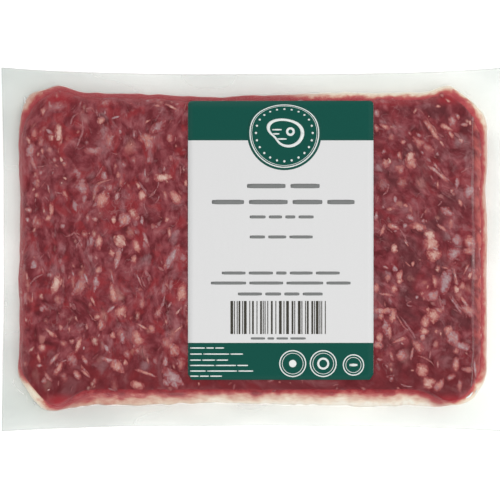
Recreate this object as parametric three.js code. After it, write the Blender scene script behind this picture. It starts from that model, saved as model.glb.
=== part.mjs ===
// A pouch of ground beef: a slab of mince vacuum packed between two sheets of clear film,
// lying flat with its paper label up.
//
// Units are millimetres. +Z is up, +X runs along the pouch and +Y across it. The origin is
// on the surface the pouch lies on, under the middle of the film's outline.
//
// The pouch is one closed solid: meat and film together, with the flat double margin of
// film that sticks out all round at mid height. The label is a thin sheet just above it.

import * as THREE from 'three';
import { mergeVertices } from 'three/addons/utils/BufferGeometryUtils.js';

const { lerp, clamp, smoothstep, degToRad } = THREE.MathUtils;

// Film margin, measured from corner to corner. Its edges draw in between the corners.
const FILM_LENGTH = 219.5;
const FILM_WIDTH = 158.3;
const FILM_END_WAIST = 1.1;
const FILM_FRONT_WAIST = 2.6;
const FILM_BACK_WAIST = 3.0;
const MARGIN_THICKNESS = 0.6;
const MARGIN_HEIGHT = 9.0; // middle of the margin, above the surface
const MARGIN_TOP = MARGIN_HEIGHT + MARGIN_THICKNESS / 2;
const MARGIN_UNDERSIDE = MARGIN_HEIGHT - MARGIN_THICKNESS / 2;
const MARGIN_RIPPLE = 0.7; // rise and fall of the free edge
const MARGIN_RIPPLE_LENGTH = 58;
const MARGIN_DROOP = 1.2; // how far the free edge hangs below where it leaves the meat

// Slab of meat, at its widest, where the film margin leaves it.
const SLAB_HEIGHT = 19.0;
const SLAB_LEFT = -102.0;
const SLAB_RIGHT = 101.1;
const SLAB_FRONT = -68.4;
const SLAB_BACK = 68.4;
const SLAB_CORNER_RADIUS = 17;

// The long edges of the slab dip in gently, deepest a little left of the middle.
const DIP_FRONT = 1.5;
const DIP_BACK = 1.9;
const DIP_CENTRE_X = -14;
const DIP_SPREAD = 45;

// Meat pushed towards the four corners swells the long edges there.
const EAR_PLACE = 84; // distance along X from the middle
const EAR_SPREAD = 6.5;
const EAR_FRONT = 1.3;
const EAR_BACK = 3.0;

// How far the flat top stops short of the slab's widest outline on each side.
const TOP_INSET_LEFT = 4.5;
const TOP_INSET_RIGHT = 6.7;
const TOP_INSET_FRONT = 3.4;
const TOP_INSET_BACK = 6.0;
const TOP_CORNER_RADIUS = 12.5;
const BASE_INSET = 7; // the same for the flat face that it rests on, all round

// Between the front ears the meat stops short, and the film slopes out from it as a web.
const WEB_STEP = 5.0;
const WEB_ENDS = [72, 86]; // the step dies away between these distances from the middle

// Surface of the top: a low crown, and the pressed strands of mince under the film.
const CROWN = 0.5;
const STRAND_RELIEF = 0.35;
const STRAND_SPACING = 11;
const STRAND_WAVES = 5;
const GOLDEN_ANGLE = degToRad(137.5);

// Paper label.
const LABEL_WIDTH = 79.7;
const LABEL_LENGTH = 120.0;
const LABEL_CENTRE_X = 11.5;
const LABEL_CENTRE_Y = 4.0;
const LABEL_CORNER_RADIUS = 1.6;
const LABEL_THICKNESS = 0.3;
const LABEL_GAP = 0.35; // clear space between the film and the label, straight up
const FLATTENED = [5, 12]; // the relief grows between these distances from the label

// Fineness of the solids.
const TOP_COLUMNS = 44;
const TOP_ROWS = 28;
const SHOULDER_STEPS = 4;
const MARGIN_STEPS = 3;
const LABEL_COLUMNS = 12;
const LABEL_ROWS = 22;
const LABEL_ROW_CROWDING = 1.6; // above 1, rows crowd towards the bent back edge

// An outline is a box with round corners. Pairs hold the front value, then the back value.
const plain = { radius: 0, endWaist: 0, waist: [0, 0], dip: [0, 0], step: [0, 0], ear: [0, 0] };
const film = {
  ...plain,
  x: [-FILM_LENGTH / 2, FILM_LENGTH / 2],
  y: [-FILM_WIDTH / 2, FILM_WIDTH / 2],
  endWaist: FILM_END_WAIST,
  waist: [FILM_FRONT_WAIST, FILM_BACK_WAIST],
};
const slab = {
  ...plain,
  x: [SLAB_LEFT, SLAB_RIGHT],
  y: [SLAB_FRONT, SLAB_BACK],
  radius: SLAB_CORNER_RADIUS,
  dip: [DIP_FRONT, DIP_BACK],
  ear: [EAR_FRONT, EAR_BACK],
};
const flatTop = {
  ...slab,
  x: [SLAB_LEFT + TOP_INSET_LEFT, SLAB_RIGHT - TOP_INSET_RIGHT],
  y: [SLAB_FRONT + TOP_INSET_FRONT, SLAB_BACK - TOP_INSET_BACK],
  radius: TOP_CORNER_RADIUS,
  dip: [0, DIP_BACK],
  step: [WEB_STEP, 0],
};
const base = {
  ...slab,
  x: [SLAB_LEFT + BASE_INSET, SLAB_RIGHT - BASE_INSET],
  y: [SLAB_FRONT + BASE_INSET, SLAB_BACK - BASE_INSET],
};
const label = {
  ...plain,
  x: [LABEL_CENTRE_X - LABEL_WIDTH / 2, LABEL_CENTRE_X + LABEL_WIDTH / 2],
  y: [LABEL_CENTRE_Y - LABEL_LENGTH / 2, LABEL_CENTRE_Y + LABEL_LENGTH / 2],
  radius: LABEL_CORNER_RADIUS,
};

// How far a long edge of an outline lies outside its box at x. It swells as a bell at each
// ear. It draws in as a cubic from the corners (waist), as one wide bell (dip), and by an
// even amount between the ears (step). side is 0 for front, 1 for back.
function edgeShift(outline, side, x) {
  const ear = Math.exp(-(((Math.abs(x) - EAR_PLACE) / EAR_SPREAD) ** 2));
  const waist = 1 - Math.min(1, Math.abs(x) / (FILM_LENGTH / 2)) ** 3;
  const dip = Math.exp(-(((x - DIP_CENTRE_X) / DIP_SPREAD) ** 2));
  const out = outline.ear[side] * ear;
  const inward = outline.waist[side] * waist + outline.dip[side] * dip;
  return out - inward - outline.step[side] * betweenEars(x);
}

// 1 between the ears, falling to 0 at them.
function betweenEars(x) {
  return 1 - smoothstep(Math.abs(x), ...WEB_ENDS);
}

// The point of an outline's inside for a and b from -1 to 1. The square of all a and b is
// stretched to the box, and what lies in a corner of it is drawn in to the corner's arc.
// Each smaller square gives the same outline, scaled about the box's middle.
function placeIn(outline, a, b) {
  const size = Math.max(Math.abs(a), Math.abs(b));
  if (size === 0) return new THREE.Vector2().addVectors(...boxCorners(outline)).divideScalar(2);
  const [low, high] = boxCorners(outline);
  const middle = low.clone().add(high).divideScalar(2);
  const half = high.clone().sub(low).divideScalar(2);
  const edge = new THREE.Vector2(a / size, b / size).multiply(half);
  const inCorner = new THREE.Vector2(
    Math.abs(edge.x) - (half.x - outline.radius),
    Math.abs(edge.y) - (half.y - outline.radius),
  );
  if (outline.radius > 0 && inCorner.x > 0 && inCorner.y > 0) {
    inCorner.setLength(outline.radius);
    edge.x = Math.sign(edge.x) * (half.x - outline.radius + inCorner.x);
    edge.y = Math.sign(edge.y) * (half.y - outline.radius + inCorner.y);
  }
  const side = b > 0 ? 1 : 0;
  const acrossShare = edge.y / half.y;
  const alongShare = edge.x / half.x;
  edge.y += acrossShare * edgeShift(outline, side, middle.x + edge.x);
  edge.x -= alongShare * outline.endWaist * (1 - acrossShare ** 2);
  return edge.multiplyScalar(size).add(middle);
}

function boxCorners(outline) {
  return [
    new THREE.Vector2(outline.x[0], outline.y[0]),
    new THREE.Vector2(outline.x[1], outline.y[1]),
  ];
}

// Distance from a point to the label's box, 0 on it.
function distanceToLabel(x, y) {
  const outsideX = Math.max(label.x[0] - x, x - label.x[1], 0);
  const outsideY = Math.max(label.y[0] - y, y - label.y[1], 0);
  return Math.hypot(outsideX, outsideY);
}

// Crossed waves, each turned by the golden angle from the one before and a little longer.
function strandRelief(x, y) {
  let height = 0;
  for (let wave = 0; wave < STRAND_WAVES; wave += 1) {
    const along = x * Math.cos(wave * GOLDEN_ANGLE) + y * Math.sin(wave * GOLDEN_ANGLE);
    const spacing = STRAND_SPACING * (1 + wave / STRAND_WAVES);
    height += Math.sin((2 * Math.PI * along) / spacing + wave);
  }
  const fade = smoothstep(distanceToLabel(x, y), ...FLATTENED);
  return (STRAND_RELIEF * fade * height) / Math.sqrt(STRAND_WAVES);
}

// Height of the crowned top, without its relief: lower by CROWN at the edges.
function crownHeight(x, y) {
  const alongShare = x / (FILM_LENGTH / 2);
  const acrossShare = y / (FILM_WIDTH / 2);
  return SLAB_HEIGHT - CROWN * (alongShare ** 2 + acrossShare ** 2);
}

function topPoint(a, b) {
  const { x, y } = placeIn(flatTop, a, b);
  return new THREE.Vector3(x, y, crownHeight(x, y) + strandRelief(x, y));
}

// From a flat face (turn 0) to the slab's widest outline (turn 1), where the film margin
// begins at marginZ. The shoulder is a quarter ellipse, and the front web a half cosine,
// which leaves the meat and meets the margin level.
function shoulderPoint(face, marginZ, turn, [a, b]) {
  const angle = (turn * Math.PI) / 2;
  const widest = placeIn(slab, a, b);
  const web = b < 0 ? betweenEars(widest.x) * smoothstep(-b, 0.8, 1) : 0;
  const outward = lerp(Math.sin(angle), turn, web);
  const height = lerp(Math.cos(angle), Math.cos(angle) ** 2, web);
  return new THREE.Vector3(
    lerp(face.x, widest.x, outward),
    lerp(face.y, widest.y, outward),
    lerp(marginZ, face.z, height),
  );
}

// Height of the middle of the film margin: it ripples and droops towards its free edge.
function marginHeight(x, y, reach) {
  const ripple = Math.sin((2 * Math.PI * (x + y)) / MARGIN_RIPPLE_LENGTH);
  return MARGIN_HEIGHT + reach * (MARGIN_RIPPLE * ripple - MARGIN_DROOP * reach);
}

// A point on the upper face (face 1) or lower face (face -1) of the margin, from the slab
// (reach 0) to the film's free edge (reach 1).
function marginPoint(face, reach, [a, b]) {
  const { x, y } = placeIn(slab, a, b).lerp(placeIn(film, a, b), reach);
  return new THREE.Vector3(x, y, marginHeight(x, y, reach) + (face * MARGIN_THICKNESS) / 2);
}

// Underside of the label: clear of the crowned top, and bent down with the quarter ellipse
// of the back shoulder where the label passes the edge of the flat top.
function labelUnderside(x, y) {
  const flatEnd = flatTop.y[1] + edgeShift(flatTop, 1, x);
  const past = clamp((y - flatEnd) / TOP_INSET_BACK, 0, 1);
  const flatHeight = crownHeight(x, Math.min(y, flatEnd));
  return lerp(MARGIN_TOP, flatHeight, Math.sqrt(1 - past ** 2)) + LABEL_GAP;
}

function labelPoint(a, b, height) {
  const crowded = 1 - 2 * ((1 - b) / 2) ** LABEL_ROW_CROWDING;
  const { x, y } = placeIn(label, a, crowded);
  return new THREE.Vector3(x, y, labelUnderside(x, y) + height);
}

// The border of the square of a and b, anticlockwise from its front left corner.
function borderOf(columns, rows) {
  const border = [];
  for (let i = 0; i < columns; i += 1) border.push([(2 * i) / columns - 1, -1]);
  for (let j = 0; j < rows; j += 1) border.push([1, (2 * j) / rows - 1]);
  for (let i = columns; i > 0; i -= 1) border.push([(2 * i) / columns - 1, 1]);
  for (let j = rows; j > 0; j -= 1) border.push([-1, (2 * j) / rows - 1]);
  return border;
}

// Triangles of a grid of points, seen anticlockwise from above.
function patch(columns, rows, pointAt) {
  const triangles = [];
  const at = (i, j) => pointAt((2 * i) / columns - 1, (2 * j) / rows - 1);
  for (let i = 0; i < columns; i += 1) {
    for (let j = 0; j < rows; j += 1) {
      const corners = [at(i, j), at(i + 1, j), at(i + 1, j + 1), at(i, j + 1)];
      triangles.push(corners[0], corners[1], corners[2], corners[0], corners[2], corners[3]);
    }
  }
  return triangles;
}

// Triangles between two closed loops of equally many points, facing out as the second loop
// lies outside or below the first.
function band(inner, outer) {
  return inner.flatMap((start, n) => {
    const next = (n + 1) % inner.length;
    return [start, outer[n], outer[next], start, outer[next], inner[next]];
  });
}

// Triangles from a flat loop to its middle, facing down.
function floorFan(loop) {
  const middle = new THREE.Vector3();
  return loop.flatMap((start, n) => [start, middle, loop[(n + 1) % loop.length]]);
}

function turnedOver(triangles) {
  return triangles.map((_, n) => triangles[n - (n % 3) + (2 - (n % 3))]);
}

function meshOf(name, triangles, material) {
  const geometry = mergeVertices(new THREE.BufferGeometry().setFromPoints(triangles));
  geometry.computeVertexNormals();
  const mesh = new THREE.Mesh(geometry, material);
  mesh.name = name;
  return mesh;
}

// The pouch: its top, then loop after loop over the upper shoulder and margin, round the
// film's free edge, back under it and down the lower shoulder to the face it rests on.
function pouchTriangles() {
  const border = borderOf(TOP_COLUMNS, TOP_ROWS);
  const loops = [];
  for (let step = 0; step <= SHOULDER_STEPS; step += 1) {
    const turn = step / SHOULDER_STEPS;
    loops.push(border.map((ab) => shoulderPoint(topPoint(...ab), MARGIN_TOP, turn, ab)));
  }
  for (let step = 1; step <= MARGIN_STEPS; step += 1) {
    loops.push(border.map((ab) => marginPoint(1, step / MARGIN_STEPS, ab)));
  }
  for (let step = MARGIN_STEPS; step > 0; step -= 1) {
    loops.push(border.map((ab) => marginPoint(-1, step / MARGIN_STEPS, ab)));
  }
  for (let step = SHOULDER_STEPS; step >= 0; step -= 1) {
    const turn = step / SHOULDER_STEPS;
    loops.push(border.map((ab) => shoulderPoint(basePoint(...ab), MARGIN_UNDERSIDE, turn, ab)));
  }
  const sides = loops.slice(1).flatMap((loop, n) => band(loops[n], loop));
  return [...patch(TOP_COLUMNS, TOP_ROWS, topPoint), ...sides, ...floorFan(loops.at(-1))];
}

function basePoint(a, b) {
  const { x, y } = placeIn(base, a, b);
  return new THREE.Vector3(x, y, 0);
}

// The label: a thin closed sheet that follows the top.
function labelTriangles() {
  const underside = (a, b) => labelPoint(a, b, 0);
  const face = (a, b) => labelPoint(a, b, LABEL_THICKNESS);
  const border = borderOf(LABEL_COLUMNS, LABEL_ROWS);
  return [
    ...patch(LABEL_COLUMNS, LABEL_ROWS, face),
    ...band(border.map((ab) => face(...ab)), border.map((ab) => underside(...ab))),
    ...turnedOver(patch(LABEL_COLUMNS, LABEL_ROWS, underside)),
  ];
}

const meatUnderFilm = new THREE.MeshStandardMaterial({
  color: '#8a484c',
  roughness: 0.25,
  metalness: 0,
});
const labelPaper = new THREE.MeshStandardMaterial({
  color: '#dedede',
  roughness: 0.5,
  metalness: 0,
});

const pouchOfMince = new THREE.Group();
pouchOfMince.add(meshOf('pouch', pouchTriangles(), meatUnderFilm));
pouchOfMince.add(meshOf('label', labelTriangles(), labelPaper));

export default pouchOfMince;
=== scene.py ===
# %% [markdown]
# # A clear pouch of ground beef
#
# The real thing is a slab of mince, vacuum packed between two sheets of clear film that are
# sealed face to face all round, with a paper label stuck on top. What the eye sees is not the
# film but what lies under it: lean meat, flecks of fat, pale threads of sinew, and a seam of
# pressed-out juice and fat where the two sheets come together.
#
# So the scene is built from the inside out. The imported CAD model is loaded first. It fixes
# every size, and this script only dresses it.

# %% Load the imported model
import math

import bpy
import numpy as np
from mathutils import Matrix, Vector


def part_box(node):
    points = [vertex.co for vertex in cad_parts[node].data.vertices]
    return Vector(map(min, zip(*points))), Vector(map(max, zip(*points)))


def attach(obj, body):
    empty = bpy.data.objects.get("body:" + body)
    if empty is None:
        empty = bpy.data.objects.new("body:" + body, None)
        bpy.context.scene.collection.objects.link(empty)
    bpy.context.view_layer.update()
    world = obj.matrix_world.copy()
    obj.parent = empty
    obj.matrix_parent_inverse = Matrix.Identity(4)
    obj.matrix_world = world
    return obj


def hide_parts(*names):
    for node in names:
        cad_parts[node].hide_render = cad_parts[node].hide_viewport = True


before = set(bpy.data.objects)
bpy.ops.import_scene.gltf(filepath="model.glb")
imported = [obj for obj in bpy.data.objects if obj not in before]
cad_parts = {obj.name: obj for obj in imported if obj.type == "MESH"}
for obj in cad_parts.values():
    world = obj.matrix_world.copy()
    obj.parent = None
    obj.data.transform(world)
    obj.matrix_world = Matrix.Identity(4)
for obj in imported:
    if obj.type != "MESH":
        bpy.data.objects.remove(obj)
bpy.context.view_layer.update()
MM = 0.001  # every number below is in millimetres until it goes into a mesh
film_low, film_high = (np.array(corner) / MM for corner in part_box("pouch"))
label_low, label_high = (np.array(corner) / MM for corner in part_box("label"))
print("pouch", np.round(film_high - film_low, 2), "label", np.round(label_high - label_low, 2))

# %% [markdown]
# ## Camera, floor and light
#
# The photograph looks straight down, so the camera hangs one metre above the pouch. Its lens
# is worked out from the width of floor that the picture spans.

# %% Camera
CAMERA_PLACE = (-1.7, -0.2, 1000.0)
FLOOR_IN_VIEW = 218.98  # width of floor that the square picture spans

scene = bpy.context.scene
camera = bpy.data.objects.new("camera", bpy.data.cameras.new("camera"))
scene.collection.objects.link(camera)
camera.location = [place * MM for place in CAMERA_PLACE]
camera.data.lens = camera.data.sensor_width * CAMERA_PLACE[2] / FLOOR_IN_VIEW
scene.camera = camera
scene.view_settings.view_transform = "Standard"
print("lens", round(camera.data.lens, 1), "mm")

# %% [markdown]
# Colours are given as the hex values that a colour picker shows. Blender counts in linear
# light, so one function turns them. Materials are built from nodes, and one more function
# adds a node: it takes the node's inputs by name, or in the order of its sockets, and another
# node may stand where a value could.

# %% Colours and nodes
def linear(hex_colour):
    """An sRGB hex colour as linear red, green, blue and a full alpha."""
    parts = [int(hex_colour[i:i + 2], 16) / 255 for i in (1, 3, 5)]
    return [p / 12.92 if p <= 0.04045 else ((p + 0.055) / 1.055) ** 2.4 for p in parts] + [1.0]


def put(tree, kind, inputs=(), stops=(), **settings):
    """Add one node: set its options, fill or link its inputs, and colour its ramp. A node
    given as an input is linked by its first output in use."""
    node = tree.nodes.new("ShaderNode" + kind)
    for name, value in settings.items():
        setattr(node, name, value)
    sockets = [socket for socket in node.inputs if socket.enabled]
    if isinstance(inputs, dict):
        sockets, inputs = [node.inputs[name] for name in inputs], inputs.values()
    for socket, value in zip(sockets, inputs):
        if isinstance(value, bpy.types.Node):
            value = next(output for output in value.outputs if output.enabled)
        if isinstance(value, bpy.types.NodeSocket):
            tree.links.new(value, socket)
        else:
            socket.default_value = value
    if stops:
        ramp = node.color_ramp.elements
        ramp[0].position, ramp[1].position = stops[0][0], stops[-1][0]
        for place, _ in stops[1:-1]:
            ramp.new(place)
        for element, (_, colour) in zip(ramp, stops):
            element.color = linear(colour)
    return node


def new_material(name):
    """A material without nodes, and its tree."""
    material = bpy.data.materials.new(name)
    material.use_nodes = True
    material.node_tree.nodes.clear()
    return material, material.node_tree


def channels(tree, attribute):
    """Red, green and blue of a piece's own attribute."""
    return put(tree, "SeparateColor", (put(tree, "Attribute", attribute_name=attribute),)).outputs


print("white is", linear("#ffffff"), "and mid grey", np.round(linear("#808080"), 3))

# %% [markdown]
# The pouch lies on a pale matt table that glows a little, as a light table does. Light comes
# from a pale sky all round and one large soft lamp at the front right. Straight overhead the
# sky is dark, as when a black card with a hole for the lens hangs over the table. Without it
# the film would mirror a pale ceiling into the lens, and the meat would look grey.

# %% Floor
FLOOR_HALF = 1500.0
FLOOR_WHITE = "#f7f7f6"
FLOOR_ROUGHNESS = 0.9
FLOOR_GLOW = 0.46

floor_mesh = bpy.data.meshes.new("floor")
corners = [(-1, -1), (1, -1), (1, 1), (-1, 1)]
floor_mesh.from_pydata([(x * FLOOR_HALF * MM, y * FLOOR_HALF * MM, 0) for x, y in corners], [],
                       [(0, 1, 2, 3)])
floor = bpy.data.objects.new("floor", floor_mesh)
scene.collection.objects.link(floor)
floor_material, tree = new_material("pale matt studio floor")
surface = put(tree, "BsdfPrincipled", {"Base Color": linear(FLOOR_WHITE), "Roughness": FLOOR_ROUGHNESS,
                                       "Emission Color": linear("#ffffff"),
                                       "Emission Strength": FLOOR_GLOW})
put(tree, "OutputMaterial", (surface,))
floor_mesh.materials.append(floor_material)
print("floor", 2 * FLOOR_HALF, "mm wide")

# %% Sky and lamp
SKY_STRENGTH, CARD_STRENGTH = 0.86, 0.02
CARD_STARTS, CARD_FULL = 0.80, 0.93  # height of a direction on the unit sphere
LAMP_PLACE = (380.0, -160.0, 1200.0)
LAMP_SIZE = 700.0
LAMP_WATTS = 7.8

world = bpy.data.worlds.new("soft sky")
scene.world = world
world.use_nodes = True
sky_tree = world.node_tree
direction = put(sky_tree, "TexCoord").outputs["Generated"]
up = put(sky_tree, "SeparateXYZ", (direction,)).outputs["Z"]
card = put(sky_tree, "MapRange", (up, CARD_STARTS, CARD_FULL, SKY_STRENGTH, CARD_STRENGTH))
sky_tree.links.new(card.outputs[0], sky_tree.nodes["Background"].inputs["Strength"])
sky_tree.nodes["Background"].inputs["Color"].default_value = linear("#ffffff")

lamp = bpy.data.objects.new("key lamp", bpy.data.lights.new("key lamp", "AREA"))
scene.collection.objects.link(lamp)
lamp.data.size = LAMP_SIZE * MM
lamp.data.energy = LAMP_WATTS
lamp.location = [place * MM for place in LAMP_PLACE]
lamp.rotation_euler = (-lamp.location).to_track_quat("-Z", "Y").to_euler()
lamp.visible_glossy = False  # it lights the pack but isn't mirrored, as with a polarising filter
print("a pale sky with a dark card, and one lamp")

# %% [markdown]
# ## Noise in numpy
#
# Meat has no straight lines, and nothing in it repeats. Value noise gives that: a random
# number sits on each corner of a lattice, and a point between takes a smooth blend of the
# eight corners round it. Here it works on whole arrays of points at once.

# %% Value noise
def lattice_value(x, y, z, seed):
    """A number from -1 to 1 for each lattice corner. Its whole coordinates are multiplied by
    large odd numbers, added, and stirred by shifts, so that neighbours share nothing."""
    n = (x * 374761393 + y * 668265263 + z * 1442695041 + seed * 974711) & 0xFFFFFFFF
    n = ((n ^ (n >> 13)) * 1274126177) & 0xFFFFFFFF
    n = ((n ^ (n >> 15)) * 2246822519) & 0xFFFFFFFF
    return (n ^ (n >> 16)) / 0x7FFFFFFF - 1


def noise(points, spacing, seed=0):
    """Smooth noise at points of shape (..., 3), with one bump about every spacing mm."""
    scaled = np.asarray(points, float) / spacing
    corner = np.floor(scaled).astype(np.int64)
    t = scaled - corner
    t = t * t * (3 - 2 * t)
    total = 0
    for dx, dy, dz in np.ndindex(2, 2, 2):
        weight = np.abs(1 - dx - t[..., 0]) * np.abs(1 - dy - t[..., 1]) * np.abs(1 - dz - t[..., 2])
        total = total + weight * lattice_value(corner[..., 0] + dx, corner[..., 1] + dy,
                                               corner[..., 2] + dz, seed)
    return total


def at_level(x, y, z=0.0):
    """Points from x, y and a height."""
    return np.stack(np.broadcast_arrays(x, y, z), -1).astype(float)


def noise_over(plan, spacing, seed):
    """Noise at places of shape (..., 2), taken on the floor."""
    return noise(at_level(plan[..., 0], plan[..., 1]), spacing, seed)


print("noise at three places", np.round(noise(at_level(np.arange(3.0) * 4, 1.0), 9.0), 2))

# %% [markdown]
# Three more small tools: a soft step, a straight blend, and the four numbers of a colour
# attribute, in which a material later finds what a point of the mesh knows about itself.

# %% Steps and blends
def smoothstep(values, low, high):
    """0 below low, 1 above high, and an even S between: t * t * (3 - 2 * t)."""
    t = np.clip((values - low) / (high - low), 0, 1)
    return t * t * (3 - 2 * t)


def mix(start, end, share):
    """start where share is 0, end where it is 1, and a straight line between."""
    return start + (end - start) * share


def paint(red, green=0.0, blue=0.0):
    """A colour attribute from one to three arrays, with a full alpha."""
    return np.stack(np.broadcast_arrays(red, green, blue, 1.0), -1)


print("a soft step", np.round(smoothstep(np.linspace(0, 1, 5), 0, 1), 2))

# %% [markdown]
# ## The pack's outlines
#
# Every surface of the pack is a stretched square. A point has two numbers, a and b, from -1
# to 1, and an outline turns them into x and y. The meat, the film and the label all use the
# same few outlines, so they nest inside each other with no fitting by hand. The numbers
# repeat those of the CAD part, whose solid they replace.

# %% Outlines
EAR_PLACE, EAR_SPREAD = 84.0, 6.5  # meat is pushed out into an ear near each corner
DIP_PLACE, DIP_SPREAD = -14.0, 45.0  # the long edges draw in a little left of the middle
WEB_ENDS = (72.0, 86.0)  # between the ears the front slopes out in a shallow web
MARGIN_HEIGHT, SLAB_HEIGHT, CROWN = 9.0, 19.0, 0.5
BULGES = [((-95.0, 66.0), 2.2), ((-90.0, -68.5), 1.8), ((86.0, -69.0), -1.8)]  # no corners are alike
BULGE_SPREAD = 6.0
WOBBLES = ((13.0, 9, 1.0), (4.5, 10, 0.6))  # spacing, seed and strength of the outline's wander
film_half = (film_high - film_low)[:2] / 2


def outline(x, y, radius=0.0, end_waist=0.0, waist=(0, 0), dip=(0, 0), step=(0, 0), ear=(0, 0),
            wobble=0.0):
    """A box with round corners. Pairs hold the front value, then the back value."""
    return {"x": x, "y": y, "radius": radius, "end_waist": end_waist, "waist": waist,
            "dip": dip, "step": step, "ear": ear, "wobble": wobble}


film_edge = outline((-film_half[0], film_half[0]), (-film_half[1], film_half[1]), end_waist=1.1,
                    waist=(2.6, 3.0))
widest = outline((-102.0, 101.1), (-68.4, 68.4), 17, dip=(1.5, 1.9), ear=(1.3, 3.0), wobble=0.5)
flat_top = outline((-97.5, 94.4), (-65.0, 62.4), 12.5, dip=(0, 1.9), step=(5, 0), ear=(1.3, 3.0))
base = outline((-95.0, 94.1), (-61.4, 61.4), 17, dip=(1.5, 1.9), ear=(1.3, 3.0))
print("slab", widest["x"], widest["y"])


# %% Stretch a square into an outline
def between_ears(x):
    """1 between the ears, falling to 0 at them."""
    return 1 - smoothstep(np.abs(x), *WEB_ENDS)


def edge_shift(shape, back, x):
    """How far a long edge lies outside its box: a bell at each ear, less a cubic waist, one
    wide bell of a dip, and an even step between the ears."""
    part = {"ear": np.exp(-((np.abs(x) - EAR_PLACE) / EAR_SPREAD) ** 2),
            "waist": np.minimum(1, np.abs(x) / film_half[0]) ** 3 - 1,
            "dip": -np.exp(-((x - DIP_PLACE) / DIP_SPREAD) ** 2),
            "step": -between_ears(x)}
    return sum(np.where(back, shape[name][1], shape[name][0]) * bell for name, bell in part.items())


def place_in(shape, a, b):
    """x and y for a and b. The square is stretched to the box, its corners are drawn in to
    their arcs, and each smaller square gives the same outline, scaled about the middle."""
    size = np.maximum(np.abs(a), np.abs(b))
    whole = np.where(size == 0, 1, size)
    middle = [sum(shape[axis]) / 2 for axis in "xy"]
    half = [(shape[axis][1] - shape[axis][0]) / 2 for axis in "xy"]
    x, y = a / whole * half[0], b / whole * half[1]
    past_x, past_y = np.abs(x) - (half[0] - shape["radius"]), np.abs(y) - (half[1] - shape["radius"])
    in_corner = (past_x > 0) & (past_y > 0) & (shape["radius"] > 0)
    pull = shape["radius"] / np.where(in_corner, np.hypot(past_x, past_y), 1)
    x = np.where(in_corner, np.sign(x) * (half[0] - shape["radius"] + past_x * pull), x)
    y = np.where(in_corner, np.sign(y) * (half[1] - shape["radius"] + past_y * pull), y)
    across, along = y / half[1], x / half[0]
    y = y + across * edge_shift(shape, b > 0, middle[0] + x)
    x = x - along * shape["end_waist"] * (1 - across ** 2)
    if shape["wobble"]:
        level = at_level(x, y)
        uneven = shape["wobble"] * sum(most * noise(level, spacing, seed) for spacing, seed, most in WOBBLES)
        for (bulge_x, bulge_y), push in BULGES:
            uneven = uneven + push * np.exp(-((x - bulge_x) ** 2 + (y - bulge_y) ** 2) / BULGE_SPREAD ** 2)
        x, y = x + along * uneven, y + across * uneven
    return x * size + middle[0], y * size + middle[1]


def plan_in(shape, a, b):
    """The same as one array of places."""
    return np.stack(place_in(shape, a, b), -1)


print("back right corner of the film", np.round(plan_in(film_edge, np.array(1.0), np.array(1.0)), 2))


# %% Depth and height
def depth_inside(shape, x, y):
    """How far inside an outline a point lies: the least distance to its sides, or in a
    corner the radius less the distance from the arc's centre."""
    middle = [sum(shape[axis]) / 2 for axis in "xy"]
    reach_x = (shape["x"][1] - shape["x"][0]) / 2
    reach_y = (shape["y"][1] - shape["y"][0]) / 2 + edge_shift(shape, y > middle[1], x)
    past_x = np.abs(x - middle[0]) - (reach_x - shape["radius"])
    past_y = np.abs(y - middle[1]) - (reach_y - shape["radius"])
    in_corner = (past_x > 0) & (past_y > 0)
    return shape["radius"] - np.where(in_corner, np.hypot(past_x, past_y), np.maximum(past_x, past_y))


def crown_height(x, y):
    """Height of the top: an upside-down bowl, lower by CROWN at the film's edges."""
    return SLAB_HEIGHT - CROWN * ((x / film_half[0]) ** 2 + (y / film_half[1]) ** 2)


print("the middle lies", depth_inside(widest, 0.0, 0.0).round(1), "mm inside the slab's edge")

# %% [markdown]
# ## The grain of the meat
#
# A mincer pushes meat out as soft strands, and the filling machine lays them side by side.
# On the left of this pouch the strands run across it, and on the right they slant. The grain
# is written as a pair of coordinates that bend with the strands: a pattern drawn thin in the
# first and long in the second is then a streak that follows the meat.

# %% Grain
SLANT = math.tan(math.radians(38))
SLANT_STARTS, SLANT_FULL = -25.0, 52.0  # the change of direction is hidden under the label
SLOW_SWAY, QUICK_SWAY = (2.8, 17.0, 1), (1.3, 7.0, 2)  # reach, spacing and seed
PROBE = 0.2


def sway(x, y):
    """Sideways wander of the strands: slow bends with quicker ones on top."""
    level = at_level(x, y)
    return sum(reach * noise(level, spacing, seed) for reach, spacing, seed in (SLOW_SWAY, QUICK_SWAY))


def grain_of(points):
    """Coordinates that follow the strands: across them, along them, and height. On the right
    both are turned by the slant, and divided by the length that the turn gives them."""
    x, y = points[..., 0], points[..., 1]
    slant = SLANT * smoothstep(x, SLANT_STARTS, SLANT_FULL)
    across = x + slant * y - sway(x, y)
    along = y - slant * (x - SLANT_FULL)
    length = np.sqrt(1 + slant ** 2)
    return np.stack([across / length, along / length, points[..., 2]], -1)


def strand_direction(plan):
    """Unit vector along the strands: at right angles to the slope of the across coordinate."""
    x, y = plan[..., 0], plan[..., 1]
    east = grain_of(at_level(x + PROBE, y))[..., 0] - grain_of(at_level(x - PROBE, y))[..., 0]
    north = grain_of(at_level(x, y + PROBE))[..., 0] - grain_of(at_level(x, y - PROBE))[..., 0]
    length = np.hypot(east, north) + 1e-9
    return at_level(north / length, -east / length)


print("strands run", np.round(strand_direction(np.array([[-60.0, 5.0], [75.0, 5.0]])), 2).tolist())

# %% [markdown]
# ## Meshes from arrays
#
# A pack is two lids and a wall: a grid on top, rings round the side and a grid below, all
# sharing their border points, so the mesh is closed without merging anything.

# %% Faces
def grid_faces(rows, columns, start=0, upside_down=False):
    """Four-sided faces of a grid of (rows + 1) x (columns + 1) points, facing up."""
    corner = start + np.arange(rows)[:, None] * (columns + 1) + np.arange(columns)
    round_face = [corner, corner + 1, corner + columns + 2, corner + columns + 1]
    if upside_down:
        round_face = round_face[::-1]
    return np.stack(round_face, -1).reshape(-1, 4)


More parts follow.
